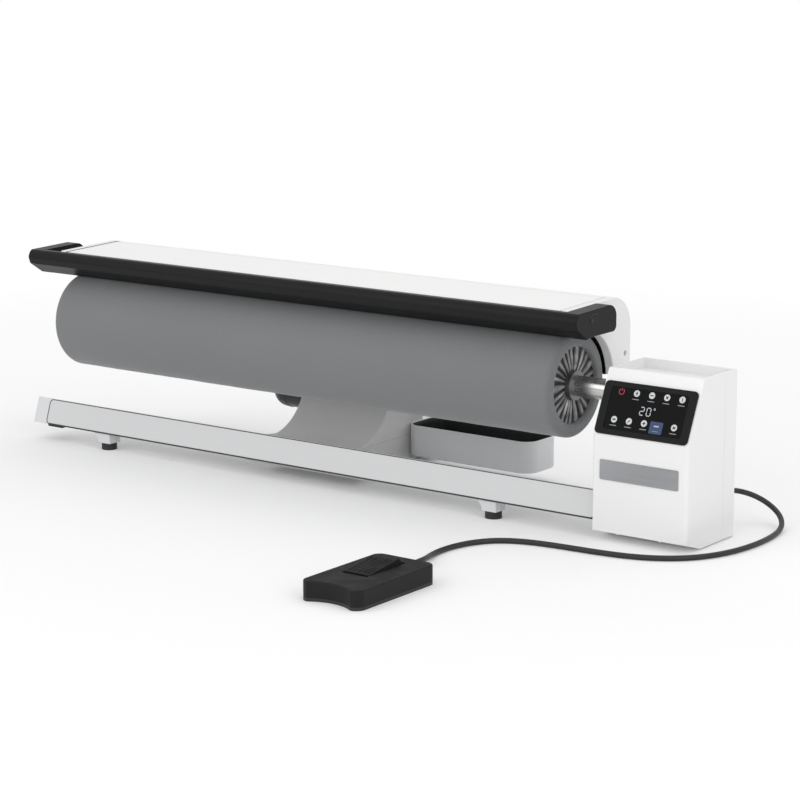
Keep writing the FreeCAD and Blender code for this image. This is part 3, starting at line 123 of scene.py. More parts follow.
# ---------------- node building
class Tree:
    """Shorthand for a shader tree: each call adds a node and links the sockets it is given."""

    def __init__(self, tree: bpy.types.NodeTree) -> None:
        """Starts on an empty tree."""
        self.tree = tree
        tree.nodes.clear()

    def add(self, kind: str, options: dict | None = None, **inputs: Input) -> bpy.types.Node:
        """Adds a node.

        Args:
            kind: the node's type without its ShaderNode prefix.
            options: properties of the node itself.
            inputs: socket values or sockets to link, by socket name with _ for a space, or by
                number as i0, i1.

        Returns:
            The new node.
        """
        node = self.tree.nodes.new(kind if kind.startswith("Node") else "ShaderNode" + kind)
        for name, value in (options or {}).items():
            setattr(node, name, value)
        for name, value in inputs.items():
            key = int(name[1:]) if name[0] == "i" and name[1:].isdigit() else name.replace("_", " ")
            self.feed(node.inputs[key], value)
        return node

    def feed(self, socket: Socket, value: Input) -> None:
        """Links a socket to an input, or sets the input's own value.

        Args:
            socket: the input.
            value: the socket to link, a number or a colour.
        """
        if isinstance(value, Socket):
            self.tree.links.new(value, socket)
        elif isinstance(value, (tuple, list)) and len(value) == 3 and socket.type == "RGBA":
            socket.default_value = (*value, 1.0)
        else:
            socket.default_value = value

    def math(self, operation: str, *values: Input) -> Socket:
        """Result of a Math node."""
        inputs = {f"i{number}": value for number, value in enumerate(values)}
        return self.add("Math", {"operation": operation}, **inputs).outputs[0]

    def noise(self, vector: Socket, scale: Input, detail: float = 3.0,
              roughness: float = 0.5) -> Socket:
        """Value of a Noise texture, from 0 to 1."""
        return self.add("TexNoise", Vector=vector, Scale=scale, Detail=detail,
                        Roughness=roughness).outputs["Fac"]

    def ramp(self, value: Socket, low: float, high: float, to_low: float = 0.0,
             to_high: float = 1.0) -> Socket:
        """A value carried from one range to another, and held at its ends."""
        return self.add("MapRange", Value=value, From_Min=low, From_Max=high, To_Min=to_low,
                        To_Max=to_high).outputs[0]

    def mix(self, share: Input, first: Input, second: Input) -> Socket:
        """Mix of two colours: (1 - share) of the first and share of the second.

        Args:
            share: share of the second colour.
            first: colour where the share is 0.
            second: colour where it is 1.

        Returns:
            The mixed colour.
        """
        node = self.add("Mix", {"data_type": "RGBA"})
        for place, value in zip((0, 6, 7), (share, first, second)):
            self.feed(node.inputs[place], value)
        return node.outputs[2]

    def split(self, vector: Socket) -> bpy.types.bpy_prop_collection:
        """The sockets X, Y and Z of a vector."""
        return self.add("SeparateXYZ", Vector=vector).outputs

    def scale(self, vector: Input, factor: Input) -> Socket:
        """A vector or a colour times a number."""
        return self.add("VectorMath", {"operation": "SCALE"}, i0=vector, Scale=factor).outputs[0]


SOCKETS = {"Vector": "NodeSocketVector", "Colour": "NodeSocketColor"}
DUST = (0.62, 0.60, 0.57)
WHITE = (1.0, 1.0, 1.0)


def new_group(name: str, inputs: str, outputs: str) -> tuple[Tree, bpy.types.bpy_prop_collection]:
    """Makes an empty shader node group.

    Args:
        name: the group's name.
        inputs: names of its inputs; Vector and Colour are of those kinds, others are numbers.
        outputs: names of its outputs, in the same way.

    Returns:
        A Tree on the group, and the sockets that bring its inputs in.
    """
    group = bpy.data.node_groups.new(name, "ShaderNodeTree")
    for way, labels in (("INPUT", inputs), ("OUTPUT", outputs)):
        for label in labels.split():
            group.interface.new_socket(label, in_out=way,
                                       socket_type=SOCKETS.get(label, "NodeSocketFloat"))
    tree = Tree(group)
    return tree, tree.add("NodeGroupInput").outputs


def make_grain_group() -> bpy.types.NodeTree:
    """Fine moulded or painted grain, as a height and a roughness.

    The height is a noise of the grain's size with a quarter of a broad noise on it, and the
    roughness swings with the broad noise.

    Returns:
        The group.
    """
    tree, given = new_group("SurfaceGrain", "Vector Size Rough Spread", "Height Roughness")
    fine = tree.noise(given["Vector"], tree.math("DIVIDE", 1.0, given["Size"]), 2.0)
    broad = tree.noise(given["Vector"], 14.0)
    swing = tree.math("MULTIPLY", tree.math("SUBTRACT", broad, 0.5), given["Spread"])
    tree.add("NodeGroupOutput", Height=tree.math("MULTIPLY_ADD", broad, 0.25, fine),
             Roughness=tree.math("MULTIPLY_ADD", swing, 2.0, given["Rough"]))
    return tree.tree


def make_tone_group() -> bpy.types.NodeTree:
    """Slow change of a colour over the piece, with settled dust on faces that look up.

    Returns:
        The group.
    """
    tree, given = new_group("ToneAndDust", "Vector Colour Mottle Dust", "Colour")
    cloud = tree.noise(given["Vector"], 6.0, 4.0, 0.6)
    shift = tree.math("MULTIPLY", tree.math("SUBTRACT", cloud, 0.5), given["Mottle"])
    toned = tree.scale(given["Colour"], tree.math("MULTIPLY_ADD", shift, 2.0, 1.0))
    up = tree.split(tree.add("NewGeometry").outputs["Normal"])["Z"]
    patch = tree.noise(given["Vector"], 45.0, 5.0, 0.7)
    settled = tree.math("MULTIPLY", tree.ramp(up, 0.6, 1.0), tree.ramp(patch, 0.45, 0.75))
    amount = tree.math("MULTIPLY", settled, given["Dust"])
    tree.add("NodeGroupOutput", Colour=tree.mix(amount, toned, DUST))
    return tree.tree


def make_streak_group() -> bpy.types.NodeTree:
    """Tool marks drawn out along one direction, as a height, a tone and a roughness.

    Returns:
        The group.
    """
    tree, given = new_group("ToolMarks", "Vector Rough Spread", "Height Tone Roughness")
    marks = tree.noise(given["Vector"], 1.0, 6.0, 0.65)
    rough = tree.math("MULTIPLY_ADD", tree.math("SUBTRACT", marks, 0.5), given["Spread"],
                      given["Rough"])
    tree.add("NodeGroupOutput", Height=marks, Tone=tree.ramp(marks, 0.25, 0.75, 0.86, 1.08),
             Roughness=rough)
    return tree.tree


def make_weave_group() -> bpy.types.NodeTree:
    """Plain weave on a cloth's own u and v: warp and weft pass over each other by turns.

    With a and b the two coordinates in threads, warp is |sin a cos b|, weft is |cos a sin b|,
    and the larger of the two shows.

    Returns:
        The group.
    """
    tree, given = new_group("PlainWeave", "Vector Threads", "Height Tone")
    lean = tree.math("MULTIPLY", tree.noise(given["Vector"], 9.0), 0.3)
    step = tree.math("MULTIPLY", given["Threads"], math.pi)
    place = tree.split(given["Vector"])
    across, along = (tree.math("MULTIPLY_ADD", place[axis], step, lean) for axis in "XY")

    def thread(over: Socket, run: Socket) -> Socket:
        """Height of the threads that lie side by side over one way and run the other."""
        return tree.math("MULTIPLY", tree.math("ABSOLUTE", tree.math("SINE", over)),
                         tree.math("ABSOLUTE", tree.math("COSINE", run)))

    height = tree.math("MAXIMUM", thread(across, along), thread(along, across))
    tone = tree.math("MULTIPLY_ADD", tree.noise(given["Vector"], 260.0, 2.0), 0.10,
                     tree.ramp(height, 0.2, 1.0, 0.86, 1.0))
    tree.add("NodeGroupOutput", Height=height, Tone=tone)
    return tree.tree


GRAIN = make_grain_group()
TONE = make_tone_group()
STREAK = make_streak_group()
WEAVE = make_weave_group()


# ---------------- finishes
class Skin(Enum):
    """How a finish breaks up its surface."""

    MOULDED = "moulded"
    POWDER = "powder coat"
    CAST = "cast"
    DRAWN = "drawn along x"
    TURNED = "turned about x"
    CLOTH = "cloth"
    FELT = "felt"
    GLOSS = "gloss"
    BOARD = "board"


@dataclass(frozen=True)
class Finish:
    """One surface finish, and the material that shows it.

    Grain and depth are in metres.  Each band is an axis and the two places on it between which
    band_colour shows.
    """

    name: str
    colour: Triple
    skin: Skin
    rough: float = 0.5
    metal: float = 0.0
    coat: float = 0.0
    sheen: float = 0.0
    grain: float = 0.0006
    depth: float = 0.00004
    mottle: float = 0.04
    dust: float = 0.03
    spread: float = 0.05
    glow: float = 0.0
    threads: float = 420.0
    specular: float = 0.5
    has_fold_shade: bool = False
    bands: tuple[tuple[str, float, float], ...] = ()
    band_colour: Triple = (0.02, 0.02, 0.021)

    def build(self) -> bpy.types.Material:
        """Makes the material, once for each name.

        Returns:
            The material.
        """
        made = bpy.data.materials.get(self.name)
        if made:
            return made
        material = bpy.data.materials.new(self.name)
        material.use_nodes = True
        tree = Tree(material.node_tree)
        shader = tree.add("BsdfPrincipled", Roughness=self.rough, Metallic=self.metal,
                          Coat_Weight=self.coat, Coat_Roughness=0.12, Sheen_Weight=self.sheen,
                          Sheen_Roughness=0.45, Specular_IOR_Level=self.specular)
        spots = tree.add("TexCoord").outputs
        place = spots["UV" if self.skin is Skin.CLOTH else "Object"]
        height, tone, rough = self.break_up(tree, place)
        base = tree.add("Group", {"node_tree": TONE}, Vector=place, Colour=self.colour,
                        Mottle=self.mottle, Dust=self.dust).outputs["Colour"]
        if tone is not None:
            base = tree.scale(base, tone)
        # painted shade in the gaps between the lining's gathered folds
        if self.has_fold_shade:
            base = self.paint_fold_shade(tree, place, base)
        for axis, low, high in self.bands:
            along = tree.split(spots["Object"])[axis]
            inside = tree.math("MULTIPLY", tree.math("GREATER_THAN", along, low),
                               tree.math("LESS_THAN", along, high))
            base = tree.mix(inside, base, self.band_colour)
        tree.feed(shader.inputs["Base Color"], base)
        if rough is not None:
            tree.feed(shader.inputs["Roughness"], rough)
        if self.glow:
            tree.feed(shader.inputs["Emission Color"], self.colour)
            tree.feed(shader.inputs["Emission Strength"], self.glow)
        bump = tree.add("Bump", Height=height, Distance=self.depth, Strength=0.6)
        tree.feed(shader.inputs["Normal"], bump.outputs["Normal"])
        tree.add("OutputMaterial", Surface=shader.outputs["BSDF"])
        return material

    @staticmethod
    def paint_fold_shade(tree: Tree, place: Socket, base: Socket) -> Socket:
        """Paints shade into the gaps between gathered folds, which follow the phase of
        Roller.gather.

        Args:
            tree: the material's tree.
            place: the cloth's u round the mouth and v toward the hub, in metres.
            base: the colour before it.

        Returns:
            The shaded colour.
        """
        split = tree.split(place)
        turn = tree.math("DIVIDE", split["X"], Roller.mouth * MM)
        phase = tree.math("MULTIPLY", turn, float(Roller.folds))
        for rate, swing in Roller.wander:
            sway = tree.math("SINE", tree.math("MULTIPLY", turn, rate))
            phase = tree.math("MULTIPLY_ADD", sway, swing, phase)
        phase = tree.math("MULTIPLY_ADD", split["Y"], Roller.lean / Roller.inward, phase)
        patch = tree.ramp(tree.noise(place, 60.0), 0.35, 0.7, 0.35, 1.0)
        # painted shade: near black in the gaps between folds, full colour on their crests
        fold_gap_shade = tree.ramp(tree.math("COSINE", phase), -0.5, 0.8, 0.06, 1.0)
        return tree.scale(base, tree.math("MULTIPLY", patch, fold_gap_shade))

    def break_up(self, tree: Tree, place: Socket) -> tuple[Socket | None, ...]:
        """Height, tone and roughness of the surface's own pattern.

        Args:
            tree: the material's tree.
            place: the coordinates that the pattern follows.

        Returns:
            Three sockets, with None where the finish has no such change.
        """
        if self.skin in (Skin.TURNED, Skin.DRAWN, Skin.BOARD):
            stretch = {Skin.TURNED: (2600.0, 4.0, 4.0), Skin.DRAWN: (9.0, 1300.0, 1300.0),
                       Skin.BOARD: (420.0, 420.0, 420.0)}[self.skin]
            turned = tree.add("Mapping", {"vector_type": "POINT"}, Vector=place, Scale=stretch)
            marks = tree.add("Group", {"node_tree": STREAK}, Vector=turned.outputs[0],
                             Rough=self.rough, Spread=self.spread)
            return marks.outputs["Height"], marks.outputs["Tone"], marks.outputs["Roughness"]
        if self.skin is Skin.CLOTH:
            weave = tree.add("Group", {"node_tree": WEAVE}, Vector=place, Threads=self.threads)
            return weave.outputs["Height"], weave.outputs["Tone"], None
        grain = tree.add("Group", {"node_tree": GRAIN}, Vector=place, Size=self.grain,
                         Rough=self.rough, Spread=self.spread)
        tone = None
        if self.skin in (Skin.CAST, Skin.FELT):
            tone = tree.ramp(grain.outputs["Height"], 0.3, 0.9, 0.9, 1.05)
        return grain.outputs["Height"], tone, grain.outputs["Roughness"]


# Near-black bands at the shoe's two ends: painted shade of the dark gap between the roller's ends
# and the side plates.
SHOE_END_SHADE = (("X", 0.3435, 0.37), ("X", -0.51, -0.4835))


class Finishes:
    """The finishes of this machine, by what they cover."""

    # Grey darkened as painted shade: the roller's shadow on the column and base foot is painted
    # into this colour.
    SHADED_COLUMN_PAINT = Finish("column coat with painted shade", (0.66, 0.66, 0.655), Skin.POWDER, rough=0.45,
                          grain=0.0011, depth=0.00003, mottle=0.02, dust=0.02)
    BEAM_PAINT = replace(SHADED_COLUMN_PAINT, name="pearl grey paint", colour=(0.62, 0.625, 0.63),
                         rough=0.40, grain=0.0009)
    COVER = replace(SHADED_COLUMN_PAINT, name="head cover coat", colour=(0.88, 0.88, 0.875),
                    rough=0.42, coat=0.08, bands=(("X", -0.600, -0.4893),))
    WHITE_PLASTIC = Finish("white moulded plastic", (0.83, 0.83, 0.828), Skin.MOULDED, rough=0.36,
                           grain=0.0007, depth=0.000025, mottle=0.02, dust=0.015, coat=0.10)
    SHELL = replace(WHITE_PLASTIC, name="box shell plastic", bands=(("Y", 0.13832, 0.13868),),
                    band_colour=(0.55, 0.55, 0.55))
    PALE_PLASTIC = Finish("pale grey plastic", (0.66, 0.67, 0.68), Skin.MOULDED, rough=0.45,
                          mottle=0.03)
    GUARD_BLACK = Finish("black guard plastic", (0.008, 0.008, 0.0083), Skin.MOULDED, rough=0.40,
                         grain=0.0007, depth=0.00003, mottle=0.12, dust=0.015, specular=0.16)
    PEDAL_BLACK = replace(GUARD_BLACK, name="pedal plastic", rough=0.55, grain=0.0010,
                          depth=0.00007, mottle=0.15, dust=0.04, specular=0.25)
    BEZEL = Finish("black panel frame", (0.011, 0.0112, 0.0118), Skin.MOULDED, grain=0.0005,
                   depth=0.00002, mottle=0.08, dust=0.02, specular=0.12)
    GLASS = Finish("panel glass", (0.0015, 0.0015, 0.0018), Skin.GLOSS, rough=0.12, grain=0.02,
                   depth=0.00001, mottle=0.1, dust=0.005, spread=0.02, specular=0.07)
    RUBBER = Finish("moulded rubber", (0.016, 0.016, 0.017), Skin.MOULDED, rough=0.62,
                    grain=0.0009, depth=0.00006, mottle=0.15, dust=0.06)
    LEAD = Finish("lead sheath", (0.014, 0.014, 0.015), Skin.MOULDED, rough=0.40, grain=0.0008,
                  depth=0.00002, mottle=0.12, dust=0.05)
    BLACK = Finish("black fittings", (0.018, 0.018, 0.019), Skin.MOULDED, mottle=0.1)
    SEAL = Finish("dark seal", (0.03, 0.03, 0.032), Skin.MOULDED, rough=0.6, mottle=0.1, dust=0.0)
    MOTOR = Finish("motor enamel", (0.045, 0.046, 0.05), Skin.POWDER, rough=0.34, grain=0.0012,
                   depth=0.00003, mottle=0.1, coat=0.15)
    STEEL = Finish("turned steel", (0.60, 0.59, 0.58), Skin.TURNED, rough=0.22, metal=1.0,
                   depth=0.00002, mottle=0.05, spread=0.14, dust=0.0)
    HUB = replace(STEEL, name="dark turned hub", colour=(0.20, 0.20, 0.205), rough=0.34,
                  depth=0.00003, mottle=0.1)
    BRASS = Finish("bearing bronze", (0.60, 0.45, 0.22), Skin.TURNED, rough=0.32, metal=1.0,
                   depth=0.00002, spread=0.1)
    ZINC = Finish("zinc plate", (0.64, 0.65, 0.67), Skin.CAST, rough=0.36, metal=1.0,
                  grain=0.004, depth=0.00001, mottle=0.08, spread=0.1)
    SCREWS = replace(ZINC, name="plated screws", colour=(0.60, 0.61, 0.63),
                     bands=(("X", 0.382, 0.40), ("X", -0.56, -0.522)))
    CASTING = Finish("cast alloy", (0.50, 0.505, 0.51), Skin.CAST, metal=0.9, grain=0.0016,
                     depth=0.00012, mottle=0.1)
    # The sole's two end bands are painted near black as painted shade.
    ALLOY = Finish("polished sole", (0.77, 0.78, 0.79), Skin.DRAWN, rough=0.20, metal=1.0,
                   depth=0.00001, spread=0.12, dust=0.0, bands=SHOE_END_SHADE)
    PLATE = Finish("satin nameplate", (0.40, 0.405, 0.42), Skin.DRAWN, rough=0.34, metal=0.85,
                   depth=0.00001, mottle=0.05, spread=0.12, dust=0.01)
    # The felt's two end bands carry the same painted shade.
    FELT = Finish("felt blanket", (0.55, 0.53, 0.47), Skin.FELT, rough=0.95, sheen=0.4,
                  grain=0.0012, depth=0.0003, mottle=0.12, bands=SHOE_END_SHADE)
    # The cloth's own grey, made a little darker all over as painted shade for the guard's shadow on
    # the roller's top.
    CLOTH = Finish("roller cloth darkened for painted shade", (0.184, 0.190, 0.196), Skin.CLOTH, rough=0.82, sheen=0.35,
                   depth=0.00018, mottle=0.05, dust=0.0, specular=0.25)
    LINING = Finish("gathered lining with painted fold shade", (0.50, 0.50, 0.50), Skin.CLOTH, rough=0.36, metal=0.5,
                    sheen=0.2, depth=0.00010, mottle=0.20, dust=0.0, threads=300.0, has_fold_shade=True)
    BOARD = Finish("circuit board", (0.02, 0.11, 0.055), Skin.BOARD, rough=0.4, depth=0.00003)
    MARK = Finish("white marks", (0.52, 0.54, 0.56), Skin.GLOSS, rough=0.4, grain=0.01,
                  mottle=0.02, dust=0.0, glow=0.1)
    DIM_MARK = replace(MARK, name="printed captions", colour=(0.26, 0.265, 0.27), rough=0.5,
                       glow=0.0)
    RED_MARK = replace(MARK, name="red mark", colour=(0.36, 0.03, 0.07), glow=0.2)
    BLUE_MARK = replace(MARK, name="blue mark", colour=(0.008, 0.035, 0.11), glow=0.12)


# ---------------- shapes
def new_object(name: str, data: bpy.types.ID) -> Object:
    """A new object, linked to the scene.

    Args:
        name: its name.
        data: its mesh, curve, camera or light.

    Returns:
        The object.
    """
    made = bpy.data.objects.new(name, data)
    bpy.context.scene.collection.objects.link(made)
    return made


def piece(name: str, points: np.ndarray, faces: list, finish: Finish, smooth: bool = True,
          uvs: np.ndarray | None = None) -> Object:
    """A mesh object from points and faces, with doubles merged and faces pointing outwards.

    Args:
        name: the piece's name.
        points: array (n, 3) in metres.
        faces: lists of point numbers.
        finish: what it is made of.
        smooth: whether its faces shade smooth.
        uvs: coordinates (n, 2) by point, for a pattern that follows the surface.

    Returns:
        The object, linked to the scene at the origin.
    """
    mesh = bpy.data.meshes.new(name)
    mesh.from_pydata(points.tolist(), [], faces)
    if uvs is not None:
        layer = mesh.uv_layers.new(name="UVMap")
        corners = np.empty(len(mesh.loops), dtype=np.int32)
        mesh.loops.foreach_get("vertex_index", corners)
        layer.data.foreach_set("uv", np.asarray(uvs, np.float32)[corners].ravel())
    shape = bmesh.new()
    shape.from_mesh(mesh)
    bmesh.ops.remove_doubles(shape, verts=shape.verts, dist=1e-6)
    bmesh.ops.recalc_face_normals(shape, faces=shape.faces)
    shape.to_mesh(mesh)
    shape.free()
    mesh.polygons.foreach_set("use_smooth", [smooth] * len(mesh.polygons))
    mesh.materials.append(finish.build())
    return new_object(name, mesh)


def join(name: str, parts: list[Object]) -> Object:
    """One object from several, keeping each one's materials.

    Args:
        name: the new object's name.
        parts: the objects, which are removed.

    Returns:
        The new object.
    """
    mesh = bpy.data.meshes.new(name)
    shape = bmesh.new()
    for part in parts:
        slots = []
        for material in part.data.materials:
            if material.name not in mesh.materials:
                mesh.materials.append(material)
            slots.append(mesh.materials.find(material.name))
        before = len(shape.faces)
        shape.from_mesh(part.data)
        shape.faces.ensure_lookup_table()
        for face in shape.faces[before:]:
            face.material_index = slots[face.material_index]
        bpy.data.objects.remove(part)
    shape.to_mesh(mesh)
    shape.free()
    return new_object(name, mesh)


def grid_faces(rows: int, columns: int, loop: bool = True) -> list[tuple[int, ...]]:
    """Quads between the rows of a grid of points: point c of row r has number r columns + c.

    Args:
        rows: how many rows there are.
        columns: how many points a row has.
        loop: whether each row closes on itself.

    Returns:
        The four point numbers of each face.
    """
    row = columns * np.arange(rows - 1)[:, None]
    column = np.arange(columns if loop else columns - 1)
    after = (column + 1) % columns
    quads = np.stack([row + column, row + after, row + columns + after, row + columns + column], -1)
    return [tuple(quad) for quad in quads.reshape(-1, 4).tolist()]


def caps(rows: int, columns: int) -> list[tuple[int, ...]]:
    """The two faces that close a grid of loops at its first and last rows."""
    last = (rows - 1) * columns
    return [tuple(range(columns - 1, -1, -1)), tuple(range(last, last + columns))]


def revolve(name: str, foot: np.ndarray, axis: np.ndarray, profile: list[Pair],
            finish: Finish, steps: int = 48, sides: int = 0) -> Object:
    """A turned piece.

    With sides, radii below zero are drawn as a polygon: the radius of a hexagon's flat at angle
    t is r cos(pi/n) / cos((t mod 2pi/n) - pi/n).

    Args:
        name: the piece's name.
        foot: the point on the axis where height is 0, in metres.
        axis: unit vector along the axis.
        profile: height and radius in millimetres, in order; a negative radius marks a socket
            with that many sides.
        finish: what it is made of.
        steps: points round the axis.
        sides: sides of the socket.

    Returns:
        The object.
    """
    axis = axis / np.linalg.norm(axis)
    first = np.cross(axis, (0.0, 0.0, 1.0) if abs(axis[2]) < 0.9 else (1.0, 0.0, 0.0))
    first /= np.linalg.norm(first)
    second = np.cross(axis, first)
    angle = np.arange(steps) * TURN / steps
    rows = []
    for height, radius in profile:
        reach = np.full(steps, abs(radius))
        if radius < 0 and sides:
            part = TURN / sides
            reach *= math.cos(part / 2) / np.cos(angle % part - part / 2)
        rows.append(foot + MM * (height * axis + reach[:, None]
                                 * (np.cos(angle)[:, None] * first
                                    + np.sin(angle)[:, None] * second)))
    return piece(name, np.concatenate(rows), grid_faces(len(profile), steps), finish)


def prism(name: str, outline: np.ndarray, plane: Plane, low: float, high: float,
          finish: Finish) -> Object:
    """A flat outline given thickness out of its plane.

    Args:
        name: the piece's name.
        outline: array (n, 2) in millimetres, anticlockwise seen from outside.
        plane: where it lies.
        low: height of its underside in millimetres.
        high: height of its top.
        finish: what it is made of.

    Returns:
        The object.
    """
    count = len(outline)
    points = np.concatenate([plane.put(outline, low), plane.put(outline, high)])
    return piece(name, points, grid_faces(2, count) + caps(2, count), finish, False)


def corners(left: float, low: float, right: float, high: float, radius: float,
            steps: int = 6) -> np.ndarray:
    """Rounded rectangle, anticlockwise: each corner is a quarter circle about its own middle.

    Args:
        left: its left side.
        low: its lower side.
        right: its right side.
        high: its upper side.
        radius: radius of the corners.
        steps: points on each corner.

    Returns:
        Its points, as an array (n, 2).
    """
    middles = np.array([(right - radius, low + radius), (right - radius, high - radius),
                        (left + radius, high - radius), (left + radius, low + radius)])
    start = np.array([-90.0, 0.0, 90.0, 180.0])
    angle = np.radians(np.linspace(start, start + 90.0, steps, axis=1))
    round_ = np.stack([np.cos(angle), np.sin(angle)], -1)
    return (middles[:, None] + radius * round_).reshape(-1, 2)


def ribbon(name: str, line: np.ndarray, plane: Plane, width: float, low: float, high: float,
           finish: Finish, closed: bool = False) -> Object:
    """A strip of even width along a flat line, with a low crown across it.

    Args:
        name: the piece's name.
        line: array (n, 2) in millimetres.
        plane: where it lies.
        width: its width in millimetres.
        low: height of its foot.
        high: height of its crown.
        finish: what it is made of.
        closed: whether the line is a loop.

    Returns:
        The object.
    """
    line = np.asarray(line, float)
    if closed:
        along = np.roll(line, -1, 0) - np.roll(line, 1, 0)
    else:
        along = np.gradient(line, axis=0)
    along /= np.linalg.norm(along, axis=1)[:, None]
    side = np.stack([-along[:, 1], along[:, 0]], 1)
    section = ((-0.5, low), (-0.5, (low + high) / 2), (-0.3, high), (0.3, high),
               (0.5, (low + high) / 2), (0.5, low))
    points = np.stack([plane.put(line + side * width * share, rise) for share, rise in section], 1)
    count = len(section)
    faces = grid_faces(len(line), count)
    if closed:
        last = (len(line) - 1) * count
        faces += [(last + step, last + (step + 1) % count, (step + 1) % count, step)
                  for step in range(count)]
    else:
        faces += caps(len(line), count)
    return piece(name, points.reshape(-1, 3), faces, finish)


def screw(name: str, foot: np.ndarray, axis: np.ndarray, radius: float, height: float,
          finish: Finish) -> Object:
    """A socket-head screw, standing on its foot point."""
    return revolve(name, foot, axis, [
        (-0.4, TIP), (-0.4, radius * 0.92), (0.0, radius), (height * 0.7, radius),
        (height * 0.92, radius * 0.94), (height, radius * 0.82), (height, -radius * 0.52),
        (height * 0.25, -radius * 0.50), (height * 0.2, TIP)], finish, 36, 6)


def rides(made: Object, body: str, slot: str, *nodes: str) -> Object:
    """Sets the body that a piece rides on, and hides the nodes it stands for.

    Args:
        made: the piece.
        body: the body that it moves with.
        slot: the material slot that it belongs to; not used.
        nodes: the solids whose place it takes.

    Returns:
        The piece.
    """
    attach(made, body)
    if nodes:
        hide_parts(*nodes)
    return made


# ---------------- studio
@dataclass(frozen=True)
class Lamp:
    """One soft area light."""

    name: str
    place: Triple
    aim: Triple
    size: float
    power: float


@dataclass(frozen=True)
class Studio:
    """Camera, floor, world and lamps."""

    eye: Triple = (2.0467, -2.5413, 0.8079)
    yaw: float = 36.6145
    pitch: float = 11.6762
    lens: float = 113.74
    floor_radius: float = 9.0
    floor_tone: float = 0.95
    fade: tuple[float, float, float, float] = (0.5, 1.9, 0.10, 1.0)
    sky: float = 0.78
    lamps: tuple[Lamp, ...] = (
        Lamp("key", (-1.3, -2.3, 1.5), (0.0, 0.0, 0.15), 1.8, 13.0),
        Lamp("fill", (2.6, -1.0, 1.3), (0.2, 0.0, 0.15), 1.6, 10.0),
        Lamp("front", (1.1, -3.0, 0.55), (0.0, 0.0, 0.1), 1.6, 9.0),
        Lamp("top", (0.1, 0.5, 2.6), (0.0, 0.0, 0.1), 2.8, 13.0),
    )

    def build(self) -> None:
        """Makes the camera, the lamps, the world and the floor."""
        scene = bpy.context.scene
        scene.view_settings.view_transform = "Standard"
        data = bpy.data.cameras.new("camera")
        data.lens, data.sensor_width = self.lens, 36.0
        scene.camera = new_object("camera", data)
        scene.camera.location = self.eye
        scene.camera.rotation_euler = (math.radians(90.0 - self.pitch), 0.0,
                                       math.radians(self.yaw))
        for lamp in self.lamps:
            self.add_lamp(lamp)
        self.add_world()
        self.add_floor()

    @staticmethod
    def add_lamp(lamp: Lamp) -> None:
        """Adds a square area light that faces its aim.

        Args:
            lamp: its place, aim, size and power.
        """
        data = bpy.data.lights.new(lamp.name, "AREA")
        data.shape, data.size, data.energy = "SQUARE", lamp.size, lamp.power
        made = new_object(lamp.name, data)
        made.location = lamp.place
        toward = Vector(lamp.aim) - Vector(lamp.place)
        made.rotation_euler = toward.to_track_quat("-Z", "Y").to_euler()

    def add_world(self) -> None:
        """Even pale light, seen as white by the camera."""
        world = bpy.data.worlds.new("studio")
        world.use_nodes = True
        bpy.context.scene.world = world
        tree = Tree(world.node_tree)
        path = tree.add("LightPath").outputs
        seen = tree.math("MAXIMUM", path["Is Camera Ray"], path["Is Transmission Ray"])
        light = tree.add("Background", Color=WHITE, Strength=self.sky)
        shown = tree.add("Background", Color=WHITE, Strength=1.0)
        both = tree.add("MixShader", i0=seen, i1=light.outputs[0], i2=shown.outputs[0])
        tree.add("OutputWorld", Surface=both.outputs[0])

    def add_floor(self) -> None:
        """White floor that keeps the machine's shadow and goes over to plain white far away."""
        material = bpy.data.materials.new("studio floor")
        material.use_nodes = True
        tree = Tree(material.node_tree)
        place = tree.add("TexCoord").outputs["Object"]
        away = tree.add("VectorMath", {"operation": "LENGTH"}, i0=place).outputs["Value"]
        seen = tree.math("MULTIPLY", tree.add("LightPath").outputs["Is Camera Ray"],
                         tree.ramp(away, *self.fade))
        matt = tree.add("BsdfDiffuse", Color=(self.floor_tone,) * 3)
        plain = tree.add("Emission", Color=WHITE, Strength=1.0)
        both = tree.add("MixShader", i0=seen, i1=matt.outputs[0], i2=plain.outputs[0])
        tree.add("OutputMaterial", Surface=both.outputs[0])
        reach = self.floor_radius
        mesh = bpy.data.meshes.new("floor")
        mesh.from_pydata([(-reach, -reach, 0), (reach, -reach, 0), (reach, reach, 0),
                          (-reach, reach, 0)], [], [(0, 1, 2, 3)])
        mesh.materials.append(material)
        floor = new_object("floor", mesh)


